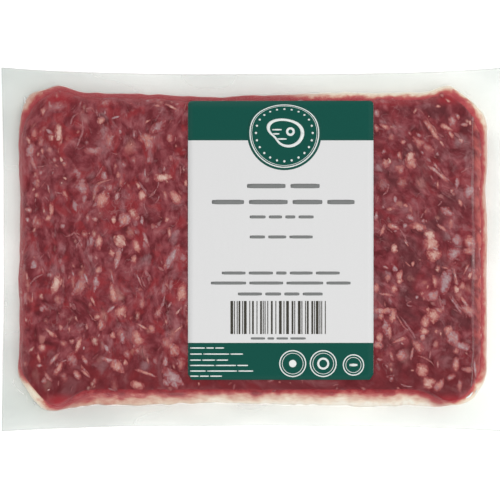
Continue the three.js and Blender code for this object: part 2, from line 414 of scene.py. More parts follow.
def ring_faces(rings):
    """Faces between rings of point numbers, each ring outside or below the one before."""
    inner, outer = rings[:-1], rings[1:]
    return np.stack([inner, outer, np.roll(outer, -1, 1), np.roll(inner, -1, 1)], -1).reshape(-1, 4)


def border_places(rows, columns):
    """Row and column of each border point of a grid, anticlockwise from the front left."""
    r, c = np.arange(rows), np.arange(columns)
    row = np.concatenate([0 * c, r, 0 * c + rows, rows - r])
    column = np.concatenate([c, 0 * r + columns, columns - c, 0 * r])
    return row, column


def square_grid(rows, columns):
    """a and b over the whole square."""
    return np.meshgrid(np.linspace(-1, 1, columns + 1), np.linspace(-1, 1, rows + 1))


print("a grid of 2 x 3 has", len(grid_faces(2, 3)), "faces")


# %% Pieces
def make_piece(name, points, face_sets, material, **attributes):
    """A smooth mesh object from points in mm, arrays of faces and per-point values, whose
    three or four numbers a point make them a vector or a colour."""
    mesh = bpy.data.meshes.new(name)
    points = np.asarray(points, float).reshape(-1, 3) * MM
    mesh.vertices.add(len(points))
    mesh.vertices.foreach_set("co", points.astype(np.float32).ravel())
    sizes = np.concatenate([np.full(len(faces), faces.shape[1]) for faces in face_sets])
    mesh.loops.add(int(sizes.sum()))
    mesh.loops.foreach_set("vertex_index", np.concatenate([f.ravel() for f in face_sets]).astype(np.int32))
    mesh.polygons.add(len(sizes))
    mesh.polygons.foreach_set("loop_start", (np.cumsum(sizes) - sizes).astype(np.int32))
    mesh.polygons.foreach_set("use_smooth", np.ones(len(sizes), bool))
    for attribute, values in attributes.items():
        values = np.asarray(values, np.float32)
        kind, field = {3: ("FLOAT_VECTOR", "vector"), 4: ("FLOAT_COLOR", "color")}[values.shape[-1]]
        mesh.attributes.new(attribute, kind, "POINT").data.foreach_set(field, values.ravel())
    mesh.update(calc_edges=True)
    mesh.validate()
    mesh.materials.append(material)
    piece = bpy.data.objects.new(name, mesh)
    scene.collection.objects.link(piece)
    print(name, "has", len(points), "points and", int((sizes - 2).sum()), "triangles")
    return piece


def closed_pack(top, rings, bottom):
    """Points and faces of a closed pack: a top grid, rings round the side, a bottom grid."""
    rows, columns = top.shape[0] - 1, top.shape[1] - 1
    row, column = border_places(rows, columns)
    border = row * (columns + 1) + column
    ring_numbers = top[..., 0].size + np.arange(rings[..., 0].size).reshape(rings.shape[:2])
    bottom_start = top[..., 0].size + rings[..., 0].size
    all_rings = np.concatenate([border[None], ring_numbers, border[None] + bottom_start])
    points = np.concatenate([part.reshape(-1, 3) for part in (top, rings, bottom)])
    return points, [grid_faces(rows, columns), ring_faces(all_rings),
                    grid_faces(rows, columns, bottom_start, upside_down=True)]


def shoulder(face, wide, margin_z, turn, web=0.0):
    """From a lid's border (turn 0) to the widest outline (turn 1): a quarter ellipse, or at
    the front web a half cosine, which leaves the lid and meets the margin level."""
    angle = turn * math.pi / 2
    outward = np.broadcast_to(mix(np.sin(angle), turn, web), wide.shape[:1])[:, None]
    height = mix(np.cos(angle), np.cos(angle) ** 2, web)
    plan = mix(face[..., :2], wide, outward)
    return at_level(plan[..., 0], plan[..., 1], mix(margin_z, face[..., 2], height))


print("a pack needs two grids and its rings")

# %% [markdown]
# ## The mince
#
# The slab of lean meat carries most of the look. Its mesh has the pressed form: flat lids
# with a low crown, steep sides, and faint furrows where strands lie side by side. It stops
# short of the film at the front, where the real meat doesn't reach the seal.

# %% Relief of the strands
FILM_GAP = 0.3
FURROW = 0.16
STRAND_WIDTH, STRAND_LENGTH = 2.6, 9.0
SWELL, SWELL_SPACING, SWELL_WAVES = 0.35, 11, 5
GOLDEN_ANGLE = math.radians(137.5)
SWELL_STARTS, SWELL_FULL = 5, 12  # distance from the label


def strand_relief(x, y):
    """Low swell under the film: five crossed waves, turned by the golden angle each time,
    which fade out near the label."""
    swell = 0
    for wave in range(SWELL_WAVES):
        turn = wave * GOLDEN_ANGLE
        spacing = SWELL_SPACING * (1 + wave / SWELL_WAVES)
        swell = swell + np.sin(2 * math.pi * (x * math.cos(turn) + y * math.sin(turn)) / spacing + wave)
    outside_x = np.maximum(np.maximum(label_low[0] - x, x - label_high[0]), 0)
    outside_y = np.maximum(np.maximum(label_low[1] - y, y - label_high[1]), 0)
    fade = smoothstep(np.hypot(outside_x, outside_y), SWELL_STARTS, SWELL_FULL)
    return SWELL * fade * swell / math.sqrt(SWELL_WAVES)


def furrows(points):
    """Furrows between strands, 0 on a strand and down to -1 between two."""
    grain = grain_of(points) / (STRAND_WIDTH, STRAND_LENGTH, STRAND_WIDTH)
    return -np.abs(noise(grain, 1.0, 5)) ** 0.7


def meat_height(x, y, furrow=FURROW):
    """Height of the mince's top: the film's own height, less the gap and the furrows."""
    relief = furrow * furrows(at_level(x, y, SLAB_HEIGHT))
    return crown_height(x, y) + strand_relief(x, y) - FILM_GAP + relief


print("the swell reaches", SWELL, "mm and the furrows", FURROW, "mm")

# %% Mince shape
MEAT_ROWS, MEAT_COLUMNS, MEAT_RINGS = 156, 236, 7
DENT, DENT_SPACING = 0.25, 3.2
meat_top = outline((-97.2, 94.0), (-64.7, 62.0), 14, dip=(0, 1.9), step=(5, 0), ear=(1.3, 3.0))
meat_widest = outline((-101.5, 99.7), (-67.4, 67.0), 19.5, dip=(0, 1.9), step=(5, 0), ear=(1.2, 2.9),
                      wobble=0.5)
meat_base = outline((-94.5, 93.0), (-60.0, 60.6), 17, dip=(0, 1.9), ear=(0.6, 2.6))


def outward_of(ring):
    """Level unit vectors that point out of a ring that runs anticlockwise."""
    along = np.roll(ring, -1, 0) - np.roll(ring, 1, 0)
    out = at_level(along[:, 1], -along[:, 0])
    return out / np.linalg.norm(out, axis=-1, keepdims=True)


a, b = square_grid(MEAT_ROWS, MEAT_COLUMNS)
x, y = place_in(meat_top, a, b)
meat_lid = at_level(x, y, meat_height(x, y))
x, y = place_in(meat_base, a, b)
meat_floor = at_level(x, y, FILM_GAP - FURROW * furrows(at_level(x, y)))

row, column = border_places(MEAT_ROWS, MEAT_COLUMNS)
border_a, border_b = a[row, column], b[row, column]
lid_rim, floor_rim = meat_lid[row, column], meat_floor[row, column]
wide = plan_in(meat_widest, border_a, border_b)
outward = outward_of(wide)
turns = np.arange(1, MEAT_RINGS + 1) / MEAT_RINGS
meat_side = np.stack([shoulder(lid_rim, wide, MARGIN_HEIGHT, turn) for turn in turns]
                     + [shoulder(floor_rim, wide, MARGIN_HEIGHT, turn) for turn in turns[-2::-1]])
round_side = np.sin(np.linspace(0, math.pi, len(meat_side) + 2))[1:-1, None]
sunk = DENT * (noise(meat_side, DENT_SPACING, 6) - 1) * round_side
meat_side = meat_side + outward * sunk[..., None]
meat_points, meat_faces = closed_pack(meat_lid, meat_side, meat_floor)
print("mince spans", np.round(np.ptp(meat_points, axis=0), 1), "mm")

# %% [markdown]
# ## Lean meat as a material
#
# Raw beef under vacuum keeps no air, so it is a dull maroon and not bright red. Myoglobin is
# redder where the layer is thin, near the edge. The patterns are laid over each other as the
# meat is built up: a soft mottle for the strands, redder patches, milky veils of tissue,
# flecks of fat just below the surface, dark lines where two strands meet, and fine pale
# fibres. Each is drawn in the grain coordinates, with its size in mm across and along the
# strands. A pattern's values lie near 0.5, so a layer names two of them: where its colour
# begins to show, and where it shows most.

# %% Patterns along the grain
def grain_pattern(tree, width, length, detail=3.0, roughness=0.55, distortion=0.4, seed=0.0):
    """Noise drawn width mm across the strands and length mm along them."""
    grain = put(tree, "Attribute", attribute_name="grain").outputs["Vector"]
    scaled = put(tree, "Mapping", {"Vector": grain, "Location": (seed, seed, seed),
                                   "Scale": (1 / width, 1 / length, 1 / width)})
    return put(tree, "TexNoise", {"Vector": scaled, "Scale": 1.0, "Detail": detail,
                                  "Roughness": roughness, "Distortion": distortion})


def laid_over(tree, under, over, pattern, begins, full, most=1.0, held_back=1.0):
    """A colour over another. Its share rises in an even S from 0 where the pattern is at
    begins to most where it is at full, times what holds it back."""
    share = put(tree, "MapRange", (pattern, begins, full, 0.0, most), interpolation_type="SMOOTHSTEP")
    share = put(tree, "Math", (share, held_back), operation="MULTIPLY")
    over = linear(over) if isinstance(over, str) else over
    return put(tree, "Mix", (share, under, over), data_type="RGBA")


def thin_lines(tree, pattern, half_width, most):
    """A share that is most on a thin line wherever a pattern passes its middle value."""
    off_middle = put(tree, "Math", (pattern, 0.5), operation="SUBTRACT")
    off_middle = put(tree, "Math", (off_middle,), operation="ABSOLUTE")
    return put(tree, "MapRange", (off_middle, 0.0, half_width, most, 0.0))


def flecks(tree, cell, filled, seed):
    """Ragged blots: noise moves a point, and then it belongs to the nearest of many seeds. A
    share of these cells is filled, each to its own radius. Gives how far a point lies inside
    its blot, and the blot's random tone."""
    grain = put(tree, "Attribute", attribute_name="grain").outputs["Vector"]
    scaled = put(tree, "Mapping", {"Vector": grain, "Location": (seed, seed, seed),
                                   "Scale": (1 / cell, 0.7 / cell, 1 / cell)})
    ragged = put(tree, "TexNoise", {"Vector": scaled, "Scale": 2.2, "Detail": 3.0}).outputs["Color"]
    moved = put(tree, "VectorMath", (ragged, (0.7, 0.7, 0.7), scaled), operation="MULTIPLY_ADD")
    cells = put(tree, "TexVoronoi", {"Vector": moved, "Scale": 1.0})
    own_size, own_tone, _ = put(tree, "SeparateColor", (cells.outputs["Color"],)).outputs
    radius = put(tree, "MapRange", (own_size, 1 - filled, 1.0, -0.02, 0.52))
    inside = put(tree, "Math", (radius, cells.outputs["Distance"]), operation="SUBTRACT")
    return inside, own_tone


print("patterns for the meat")

# %% [markdown]
# A mesh attribute called place tells the lean material where a point lies. Red is how near
# the edge it is, green how much juice stands in the meat, and blue how dull or pale the meat
# has become: up to 0.4 on the aged right half, and up to 1 on the thin right slope.

# %% Lean meat
LEAN_TONES = [(0.30, "#5a141c"), (0.42, "#6f222b"), (0.52, "#82353d"), (0.62, "#93494f"), (0.74, "#ac686b")]
FAT_TONES = [(0.0, "#dcbcb0"), (0.25, "#cd9a90"), (0.45, "#c07a70"), (0.7, "#b08183"), (1.0, "#a6878d")]
LEAN_FLECKS = [(6.4, 0.48, 0.5, 0.7, 31.0), (3.4, 0.24, 0.3, 0.56, 43.0)]  # cell, filled, soft, most, seed


def lean_colour(tree):
    """Colour of the lean meat from its layered patterns, and the mottle for its bump."""
    edge, juice, pallor = channels(tree, "place")
    mottle = grain_pattern(tree, 3.8, 5.2, 5.0, 0.58, 0.3)
    colour = put(tree, "ValToRGB", (mottle,), LEAN_TONES)
    aged = put(tree, "MapRange", (pallor, 0.1, 0.3, 0.0, 1.0), interpolation_type="SMOOTHSTEP")
    fresh = put(tree, "Math", (aged, -0.5, 1.0), operation="MULTIPLY_ADD")
    patches = grain_pattern(tree, 7.0, 8.0, seed=11.0)
    colour = laid_over(tree, colour, "#98292f", patches, 0.48, 0.66, 0.6, fresh)
    browned = grain_pattern(tree, 9.0, 13.0, seed=103.0)
    colour = laid_over(tree, colour, "#54262b", browned, 0.42, 0.66, 0.62, aged)
    veils = grain_pattern(tree, 7.0, 10.0, 4.0, 0.62, 0.5, seed=23.0)
    colour = laid_over(tree, colour, "#a46c71", veils, 0.51, 0.73, 0.74)
    for cell, filled, soft, most, seed in LEAN_FLECKS:
        inside, tone = flecks(tree, cell, filled, seed)
        fat_tone = put(tree, "MapRange", (tone, 0.0, 1.0, 0.25, 0.95))
        fat_colour = put(tree, "ValToRGB", (fat_tone,), FAT_TONES)
        colour = laid_over(tree, colour, fat_colour, inside, 0.0, soft, most)
    gaps = thin_lines(tree, grain_pattern(tree, 5.0, 7.0, 1.0, 0.5, 0.8, seed=51.0), 0.04, 0.22)
    colour = put(tree, "Mix", (gaps, colour, linear("#541319")), data_type="RGBA")
    fibres = thin_lines(tree, grain_pattern(tree, 2.8, 5.0, 1.5, 0.5, 0.4, seed=71.0), 0.025, 0.26)
    bundles = grain_pattern(tree, 8.0, 12.0, 2.0, seed=67.0)
    colour = laid_over(tree, colour, "#bf9596", bundles, 0.52, 0.68, 1.0, fibres)
    for socket, most, hex_colour in ((juice, 0.6, "#64161e"), (edge, 0.62, "#a22a33")):
        share = put(tree, "Math", (socket, most), operation="MULTIPLY")
        colour = put(tree, "Mix", (share, colour, linear(hex_colour)), data_type="RGBA")
    patchy = put(tree, "MapRange", (grain_pattern(tree, 4.0, 7.0, seed=113.0), 0.38, 0.62, 0.15, 1.7))
    return laid_over(tree, colour, "#c6625c", pallor, 0.38, 1.0, 0.48, patchy), mottle


def meat_surface(tree, colour, height, roughness):
    """The shader of everything below the film: soft, with a slight bump, and hardly shiny,
    because the film is pressed wet against it."""
    bump = put(tree, "Bump", {"Height": height, "Strength": 0.5, "Distance": 0.5 * MM})
    surface = put(tree, "BsdfPrincipled", {"Base Color": colour, "Roughness": roughness,
                                           "Specular IOR Level": 0.12, "Normal": bump})
    put(tree, "OutputMaterial", (surface,))


print("lean meat runs from", LEAN_TONES[0][1], "to", LEAN_TONES[-1][1])


# %% Mince
def nearness_to_edge(points, depth=5.0):
    """1 at the slab's widest outline, falling to 0 depth mm inside it, with an uneven border."""
    distance = depth_inside(widest, points[:, 0], points[:, 1] + 1.5 * np.sign(points[:, 1]))
    return 1 - smoothstep(distance + 2.5 * noise(points, 7.0, 8), 0.5, depth)


def place_paint(points):
    """The attribute for the lean material: near the edge and in the ears, where juice stands
    towards the front, and on the right half and its slope."""
    near = nearness_to_edge(points)
    x, y = points[:, 0], points[:, 1]
    juicy = smoothstep(-y + 5 * noise(points, 12.0, 7), 38, 60) * (1 - near)
    in_ear = np.exp(-((np.abs(x) - EAR_PLACE) / 7) ** 2) * smoothstep(np.abs(y), 61, 65)
    on_slope = smoothstep(x + 1.2 * noise(points, 4.0, 3), 92.5, 98.2)
    return paint(np.maximum(near, 1.4 * in_ear), juicy, 0.4 * smoothstep(x, 30, 55) + 0.6 * on_slope)


lean_material, tree = new_material("raw minced beef under vacuum")
colour, mottle = lean_colour(tree)
fine = grain_pattern(tree, 0.8, 1.5, seed=5.0)
meat_surface(tree, colour, put(tree, "Math", (fine, 0.4, mottle), operation="MULTIPLY_ADD"), 0.5)
mince = make_piece("mince", meat_points, meat_faces, lean_material,
                   grain=grain_of(meat_points), place=place_paint(meat_points))

# %% [markdown]
# ## Fat
#
# Fat comes through the mincer as firm crumbs of 1 to 8 mm, pressed flat against the film.
# Each is a low lumpy dome that follows the meat's own surface and dips under it at the rim.
# Those that the eye picks out are placed where the photograph has them, and smaller ones are
# scattered with a fixed seed.

# %% Crumb shapes
rng = np.random.default_rng(11)
CRUMB_SIDES = 12
CRUMB_RADII = (0.3, 0.58, 0.82, 1.0)
CRUMB_POLE, CRUMB_HEIGHTS, CRUMB_FOOT = 0.14, (0.13, 0.1, 0.02, -0.2), -0.5  # above the meat
BAYS, LOBES = (1.25, 0.36, 31), (1.25 * 2.3, 0.16, 32)  # how many, how deep, and the seed


def crumb_offsets(sizes, own):
    """Lumpy discs on rings about a pole: radius times cosine across, radius times sine along,
    and noise on the unit circle gives each crumb's rim bays and lobes of its own."""
    turn = np.arange(CRUMB_SIDES) * 2 * math.pi / CRUMB_SIDES
    circle = at_level(np.cos(turn), np.sin(turn))
    rings = [circle[:, :2] * radius for radius in CRUMB_RADII]
    plan = np.pad(np.concatenate(rings), ((1, 1), (0, 0)))
    lumpy = 1.0
    for often, deep, seed in (BAYS, LOBES):
        lumpy = lumpy + deep * noise((circle[None] + own[:, None, None] * 5.84) * often, 1.0, seed)
    lumpy = np.pad(np.tile(lumpy, (1, len(CRUMB_RADII))), ((0, 0), (1, 1)))
    height = np.concatenate([[CRUMB_POLE], np.repeat(CRUMB_HEIGHTS, CRUMB_SIDES), [CRUMB_FOOT]])
    return plan[None] * lumpy[..., None] * sizes[:, None] / 2, height


def crumb_faces(count):
    """Triangles at the top and foot of each crumb, and rings of quads between."""
    points = CRUMB_SIDES * len(CRUMB_RADII) + 2
    side = np.arange(CRUMB_SIDES)
    after = (side + 1) % CRUMB_SIDES
    tail = points - 1 - CRUMB_SIDES
    caps = np.concatenate([np.stack([0 * side, 1 + side, 1 + after], -1),
                           np.stack([0 * side + points - 1, tail + after, tail + side], -1)])
    first = np.arange(len(CRUMB_RADII) - 1)[:, None] * CRUMB_SIDES + 1
    walls = [first + side, first + CRUMB_SIDES + side, first + CRUMB_SIDES + after, first + after]
    start = np.arange(count)[:, None, None] * points
    walls = np.stack(walls, -1).reshape(-1, 4)
    return [(caps[None] + start).reshape(-1, 3), (walls[None] + start).reshape(-1, 4)]


crumb_rim = np.concatenate([[0], np.repeat(CRUMB_RADII, CRUMB_SIDES), [1]])
print(len(crumb_rim), "points a crumb")

# %% [markdown]
# The crumbs that the eye picks out, read off in mm from the pouch's middle: place,
# size across and along, turn anticlockwise from straight up, a tone from cream (0) through
# salmon (0.45) to lavender (1), and how deep it is buried in the meat (0 to 1).

# %% Crumbs listed one by one
SEEN_CRUMBS = [
    (-83.8, 50.3, 2.6, 6.4, 0, 0.15, 0), (-96, 42.5, 3.4, 5.6, 0, 0.7, 0),
    (-94.8, 36.8, 1.5, 5, 20, 0.75, 0.1), (-91.2, 42.4, 1.1, 2.2, 0, 0.4, 0),
    (-65.8, 55.3, 2.3, 2.7, 20, 0.4, 0), (-45.9, 48.1, 5.4, 3.2, 0, 0.5, 0.1),
    (-45.5, 45.4, 2.6, 3.6, 10, 0.6, 0.1), (-36.4, 48, 2.2, 3.2, 0, 0.5, 0.2),
    (-59.5, 56.8, 0.9, 3.4, -70, 0.95, 0), (-35.2, 61.2, 1, 5.2, 62, 0.3, 0),
    (-53.6, 63.1, 0.8, 1.9, 80, 0.3, 0), (-45.7, 55.2, 0.9, 2.2, -60, 0.3, 0),
    (-62.2, 47.4, 3.6, 6, -10, 0.65, 0.3), (-68.8, 42.4, 3.2, 6.6, 80, 0.7, 0.15),
    (-64.8, 50.6, 5, 5.6, 0, 0.8, 0.55), (-73.8, 27.2, 4.6, 7.6, 8, 0.75, 0.15),
    (-73, 21.8, 1.8, 4, 5, 0.8, 0.2), (-75.6, 32.6, 2.6, 6, 25, 0.8, 0.4),
    (-64.3, 31.6, 2.4, 3.4, 0, 0.75, 0), (-58.3, 32.1, 1.5, 2.5, 15, 0.4, 0.2),
    (-39.5, 31, 2.7, 5.4, 88, 0.12, 0), (-65.1, 21.8, 4.2, 6, -25, 0.42, 0),
    (-48.2, 23.4, 3.2, 3.8, 10, 0.2, 0), (-49.7, 27.6, 1.4, 2.8, 30, 0.35, 0.1),
    (-33.9, 22.4, 3.2, 5, 25, 0.36, 0), (-38.2, 23.5, 1.5, 2.8, 10, 0.45, 0.3),
    (-58.8, 22.8, 1.5, 2.9, -20, 0.6, 0), (-62.2, 26.8, 2.2, 3, 20, 0.6, 0.25),
    (-82.6, 28.6, 1, 1.4, 0, 0.2, 0), (-81.2, 30.6, 0.9, 1.6, 60, 0.3, 0),
    (-96.7, 17, 1.9, 2.5, 30, 0.5, 0), (-87.1, 17.4, 1.8, 4.4, -5, 0.38, 0),
    (-88.5, 13.7, 2.3, 2.5, -40, 0.38, 0), (-76.9, 18.5, 2, 3.6, 15, 0.98, 0.1),
    (-97.3, 12.7, 1.5, 1.9, 0, 0.8, 0.1), (-93, 11.7, 3.6, 3.8, 0, 0.5, 0.5),
    (-60.2, 12.6, 2, 3.1, -10, 0.28, 0), (-55.7, 12.6, 4, 5, -10, 0.55, 0),
    (-48.2, 12.4, 1.4, 3.2, 0, 0.85, 0), (-37.3, 12.9, 1.7, 1.8, 0, 0.4, 0),
    (-82.4, 10.1, 1.8, 2.2, 40, 0.8, 0.2), (-71.5, 13.5, 1.8, 3.2, 0, 0.65, 0.3),
    (-68.3, 13.1, 1.7, 2.7, 80, 0.55, 0.1), (-36.3, 7, 1.4, 3.2, 8, 0.4, 0),
    (-66.4, 3.7, 2.6, 5, 5, 0.3, 0), (-69.9, 3.8, 1.6, 4.2, 0, 0.95, 0.2),
    (-57.8, 3.8, 3.6, 4.2, 20, 0.16, 0), (-50.4, 1.4, 2.2, 4.6, 20, 0.3, 0),
    (-46.5, 4.5, 1.3, 6, 18, 0.7, 0.1), (-52.9, 7.2, 4, 4.6, 0, 0.5, 0.5),
    (-94.5, 50.3, 2.2, 4.2, 0, 0.48, 0.3), (-87.6, 48.5, 1.8, 2.4, 0, 0.5, 0.3),
    (-88.4, 51, 1.3, 3.6, 55, 0.8, 0.1), (-91.5, 46.4, 2.6, 3.2, 0, 0.5, 0.4),
    (-88, 42.8, 2, 2.2, 0, 0.5, 0.4), (-85.6, 38.5, 1.7, 2.1, 0, 0.55, 0.3),
    (-81.5, 36.7, 2, 2.6, 0, 0.55, 0.4), (-94, 32, 2, 3, 0, 0.5, 0.4), (-93, 27.8, 2, 2.6, 0, 0.5, 0.5),
    (-88.3, 26, 0.8, 4, 15, 0.6, 0.2), (-51.5, 38.6, 2, 3.2, 0, 0.5, 0.5),
    (-45.4, 38.5, 2, 2.8, 0, 0.8, 0.4), (-38.6, 34.6, 1.1, 2.3, -10, 0.8, 0.1),
    (-46.8, 32.8, 0.8, 3.6, 0, 0.85, 0.1), (-29.3, 28.5, 1.3, 2.4, 0, 0.4, 0.1),
    (-64.3, 63, 3, 5, -60, 0.6, 0.5), (-84.4, 61.4, 3, 5.4, -70, 0.7, 0.5),
    (-41.4, 61.8, 1.1, 2.6, 80, 0.45, 0.1), (-57.5, 50.7, 1.2, 1.6, 0, 0.85, 0.1),
    (-51.6, 49.4, 1.2, 2.6, 0, 0.8, 0.2), (-56.1, 36.7, 1.8, 2.2, 0, 0.7, 0.4),
    (-57.2, 28.8, 2, 3.2, 0, 0.48, 0.45), (-85.1, -14.8, 3.6, 7.4, -20, 0.1, 0),
    (-66.8, -8.7, 2.9, 3.1, 0, 0.42, 0), (-67.9, -13.7, 2.4, 6.2, -8, 0.85, 0),
    (-94.4, -6.6, 2.2, 3.6, 0, 0.95, 0), (-97.6, -11.8, 0.8, 3.8, 8, 0.5, 0),
    (-95.3, -21, 0.8, 4.4, -5, 0.5, 0), (-98.6, -21.2, 3.2, 6, 0, 0.65, 0.35),
    (-91.2, -25.4, 1.9, 2.4, 0, 0.8, 0.2), (-84.7, -21.6, 2.8, 4.2, 0, 0.48, 0.5),
    (-58.6, -4.4, 2.1, 8, -14, 0.65, 0), (-61.1, -1.6, 1.9, 3.2, 0, 0.3, 0.1),
    (-51.5, -4.2, 2.2, 2.7, 0, 0.46, 0.1), (-35.2, -3.4, 2.6, 8.2, -28, 0.9, 0),
    (-61, -12, 0.8, 4.2, 15, 0.8, 0.1), (-60.4, -19.2, 2.5, 6.8, 12, 0.35, 0),
    (-61.4, -25.6, 1.3, 5.4, -48, 0.85, 0), (-57.2, -26.5, 3.6, 4.8, -50, 0.38, 0),
    (-69.4, -21.8, 1, 3.6, 20, 0.4, 0), (-72.2, -12.4, 1.1, 4.2, 15, 0.85, 0),
    (-77.9, -13.8, 2, 6, 0, 0.5, 0.5), (-77.8, -10.4, 0.8, 3, 10, 0.8, 0.1),
    (-31, -18.4, 3.4, 6.2, -10, 0.38, 0), (-49.3, -13.2, 0.8, 5.2, 25, 0.7, 0.1),
    (-35.7, -15.4, 1.5, 6, -5, 0.7, 0.4), (-40.9, -26.8, 2, 4.4, -20, 0.5, 0.2),
    (-48.2, -23.6, 2.4, 4.4, 0, 0.48, 0.3), (-32.5, -26.5, 0.9, 3.2, -40, 0.4, 0),
    (-65.8, -32.3, 2.8, 3.6, 10, 0.5, 0), (-67.3, -29, 2.8, 2.2, 0, 0.45, 0.15),
    (-87.4, -35.8, 1.4, 5.4, 52, 0.35, 0), (-83, -33.6, 1.5, 1.9, 0, 0.5, 0.1),
    (-78.3, -39.5, 2, 2.1, 0, 0.45, 0.1), (-75.4, -40.4, 1.8, 5.4, -20, 0.25, 0),
    (-90.8, -42.2, 2.9, 2.7, 0, 0.36, 0), (-82.2, -40.2, 2.4, 3.2, 60, 0.5, 0.35),
    (-79.4, -34.4, 0.9, 2.2, 0, 0.4, 0.1), (-56.8, -37.4, 2.2, 5.2, 20, 0.88, 0),
    (-60.8, -37, 2.2, 2.5, 0, 0.38, 0), (-50, -38.2, 3.8, 4.8, 25, 0.38, 0),
    (-48.1, -33, 1, 4, 62, 0.35, 0), (-43.8, -34, 2, 3.2, 20, 0.5, 0.1),
    (-32.5, -34.1, 1, 4.8, -52, 0.4, 0), (-34.6, -42.6, 4, 4.6, 0, 0.5, 0),
    (-37.8, -40.2, 3.6, 3.8, 0, 0.5, 0.4), (-38.2, -48.2, 1.8, 3.6, 0, 0.7, 0),
    (-34.6, -55.2, 4.4, 7.4, 38, 0.8, 0), (-37.9, -57.3, 1.9, 3.8, 30, 0.75, 0.1),
    (-50.4, -58, 3.4, 4.8, 72, 0.36, 0), (-46.4, -53, 1.2, 7.8, 70, 0.45, 0),
    (-63.6, -42.3, 1.6, 4.2, 30, 0.85, 0), (-62.9, -47.3, 1.8, 3.8, 80, 0.6, 0),
    (-58.8, -50.2, 3.4, 5.4, 45, 0.38, 0), (-55.4, -48.7, 1.7, 1.9, 0, 0.4, 0),
    (-54.6, -44.8, 2.4, 3.2, 20, 0.6, 0.3), (-50.4, -43.4, 1.8, 2.1, 0, 0.6, 0.2),
    (-45.7, -47.6, 0.9, 3, 10, 0.4, 0), (-85.8, -46.9, 1.6, 4.8, -42, 0.6, 0.1),
    (-78.3, -47, 3.2, 5, 35, 0.6, 0.3), (-72.6, -47.6, 1.4, 3.8, 30, 0.6, 0.1),
    (-92.6, -46.3, 1.4, 3.6, 15, 0.4, 0.1), (-92.5, -49.9, 1.3, 2.7, 85, 0.7, 0),
    (-84, -50.9, 1.8, 4.8, -28, 0.36, 0), (-88.6, -55, 1.5, 4.8, 38, 0.55, 0.1),
    (-76.3, -53.7, 2.3, 3.8, 35, 0.4, 0), (-72.4, -53.3, 1, 4.6, 50, 0.5, 0.1),
    (-68.6, -56.5, 2, 2.4, 0, 0.48, 0.4), (-81.5, -55, 3, 3.2, 0, 0.5, 0.6),
    (-31.4, -48.9, 2.6, 5, 0, 0.48, 0.4), (-88.3, -60.3, 0.8, 1.4, -60, 0.4, 0),
    (67, 40, 4, 3, 60, 0.15, 0), (67.6, 37.4, 4, 4.4, 0, 0.4, 0.05), (62.5, 40.3, 2.3, 2.8, 0, 0.46, 0.15),
    (62.8, 34.6, 3.2, 3.2, 0, 0.5, 0.25), (57.9, 37.8, 1.6, 2, 0, 0.48, 0.2),
    (75.6, 52.6, 2, 7, 38, 0.45, 0), (77.8, 49.4, 1.6, 6.4, 36, 0.4, 0), (80.6, 45.8, 0.9, 3.2, 35, 0.4, 0),
    (82.4, 52.6, 2, 5.2, 62, 0.3, 0), (84.6, 49.4, 1.6, 3.2, 40, 0.4, 0), (85.4, 55.2, 3, 3.4, 0, 0.6, 0.1),
    (87.6, 57.2, 1.3, 2.6, 30, 0.6, 0.1), (89.2, 47, 1.2, 1.8, 60, 0.4, 0), (92.9, 54.6, 1, 1.6, 0, 0.2, 0),
    (83.6, 64, 1, 2.2, 60, 0.3, 0), (79.1, 61.6, 1.2, 2, 80, 0.3, 0), (56.1, 52.9, 1.9, 3.2, 65, 0.46, 0),
    (64.3, 46.3, 1.4, 1.9, 70, 0.4, 0), (70.8, 49.3, 1.4, 2.4, 40, 0.8, 0.1),
    (58.9, 48.2, 2.8, 3, 0, 0.5, 0.5), (74.5, 43.8, 2.4, 5, 60, 0.48, 0.5),
    (77.6, 34.2, 1.4, 4.6, 50, 0.55, 0), (80.8, 31.6, 1.6, 5.6, 55, 0.45, 0),
    (78.2, 36, 1, 3.4, 30, 0.6, 0), (79, 27.8, 0.9, 3, 0, 0.35, 0), (87.2, 28.5, 1.6, 4.6, -10, 0.85, 0.1),
    (92.6, 25.2, 3.6, 4.6, 0, 0.82, 0), (85, 25.1, 1.5, 1.6, 0, 0.48, 0.2),
    (55.6, 28, 4.6, 5.8, 0, 0.7, 0.5), (63.6, 28.4, 3.6, 4, 0, 0.5, 0.5), (60.7, 21.6, 1.5, 2.7, 0, 0.9, 0),
    (65, 19, 1.2, 1.9, 80, 0.4, 0), (83, 16.6, 2.8, 4.8, 62, 0.65, 0), (88.6, 20.3, 1.5, 2.6, 20, 0.35, 0),
    (67.2, 13.8, 2.2, 3, 30, 0.7, 0), (70.8, 9.6, 3, 5.8, 62, 0.4, 0), (75.3, 6.2, 3.6, 5, 35, 0.12, 0),
    (76.2, 2.2, 4.8, 4.8, 0, 0.25, 0), (87.2, 4.2, 2.8, 4.4, 30, 0.75, 0),
    (80.8, 9.3, 1.3, 5.2, 55, 0.45, 0), (92.6, 3.3, 3.8, 4.6, 10, 0.48, 0),
    (65, 10.3, 1.7, 2, 0, 0.95, 0.1), (55.1, 7.8, 1.4, 4, -25, 0.5, 0),
    (52.5, 14.2, 1.4, 3.2, 0, 0.85, 0.1), (65.4, 2.8, 0.8, 2.8, 35, 0.5, 0.1),
    (60.4, 0.2, 2.6, 2.7, 0, 0.12, 0), (52.6, 58.8, 2.4, 2.4, 0, 0.65, 0.2),
    (52.6, 52.5, 2.2, 3.2, 20, 0.48, 0.2), (77.6, -2.4, 4.6, 4.6, 0, 0.25, 0),
    (86.1, -1.6, 4.8, 4.2, 0, 0.8, 0), (92.8, -0.8, 3.8, 2.4, 0, 0.48, 0.1),
    (68.3, -6.1, 1.2, 2.4, -10, 0.4, 0), (60.7, -8, 2, 2.5, 0, 0.88, 0),
    (56.4, -7.5, 1.1, 2.2, 70, 0.6, 0.1), (62.5, -11.2, 2.3, 4.2, -5, 0.42, 0),
    (62.6, -13.6, 2, 1.9, 0, 0.3, 0), (60.2, -16.8, 3, 3, 0, 0.4, 0),
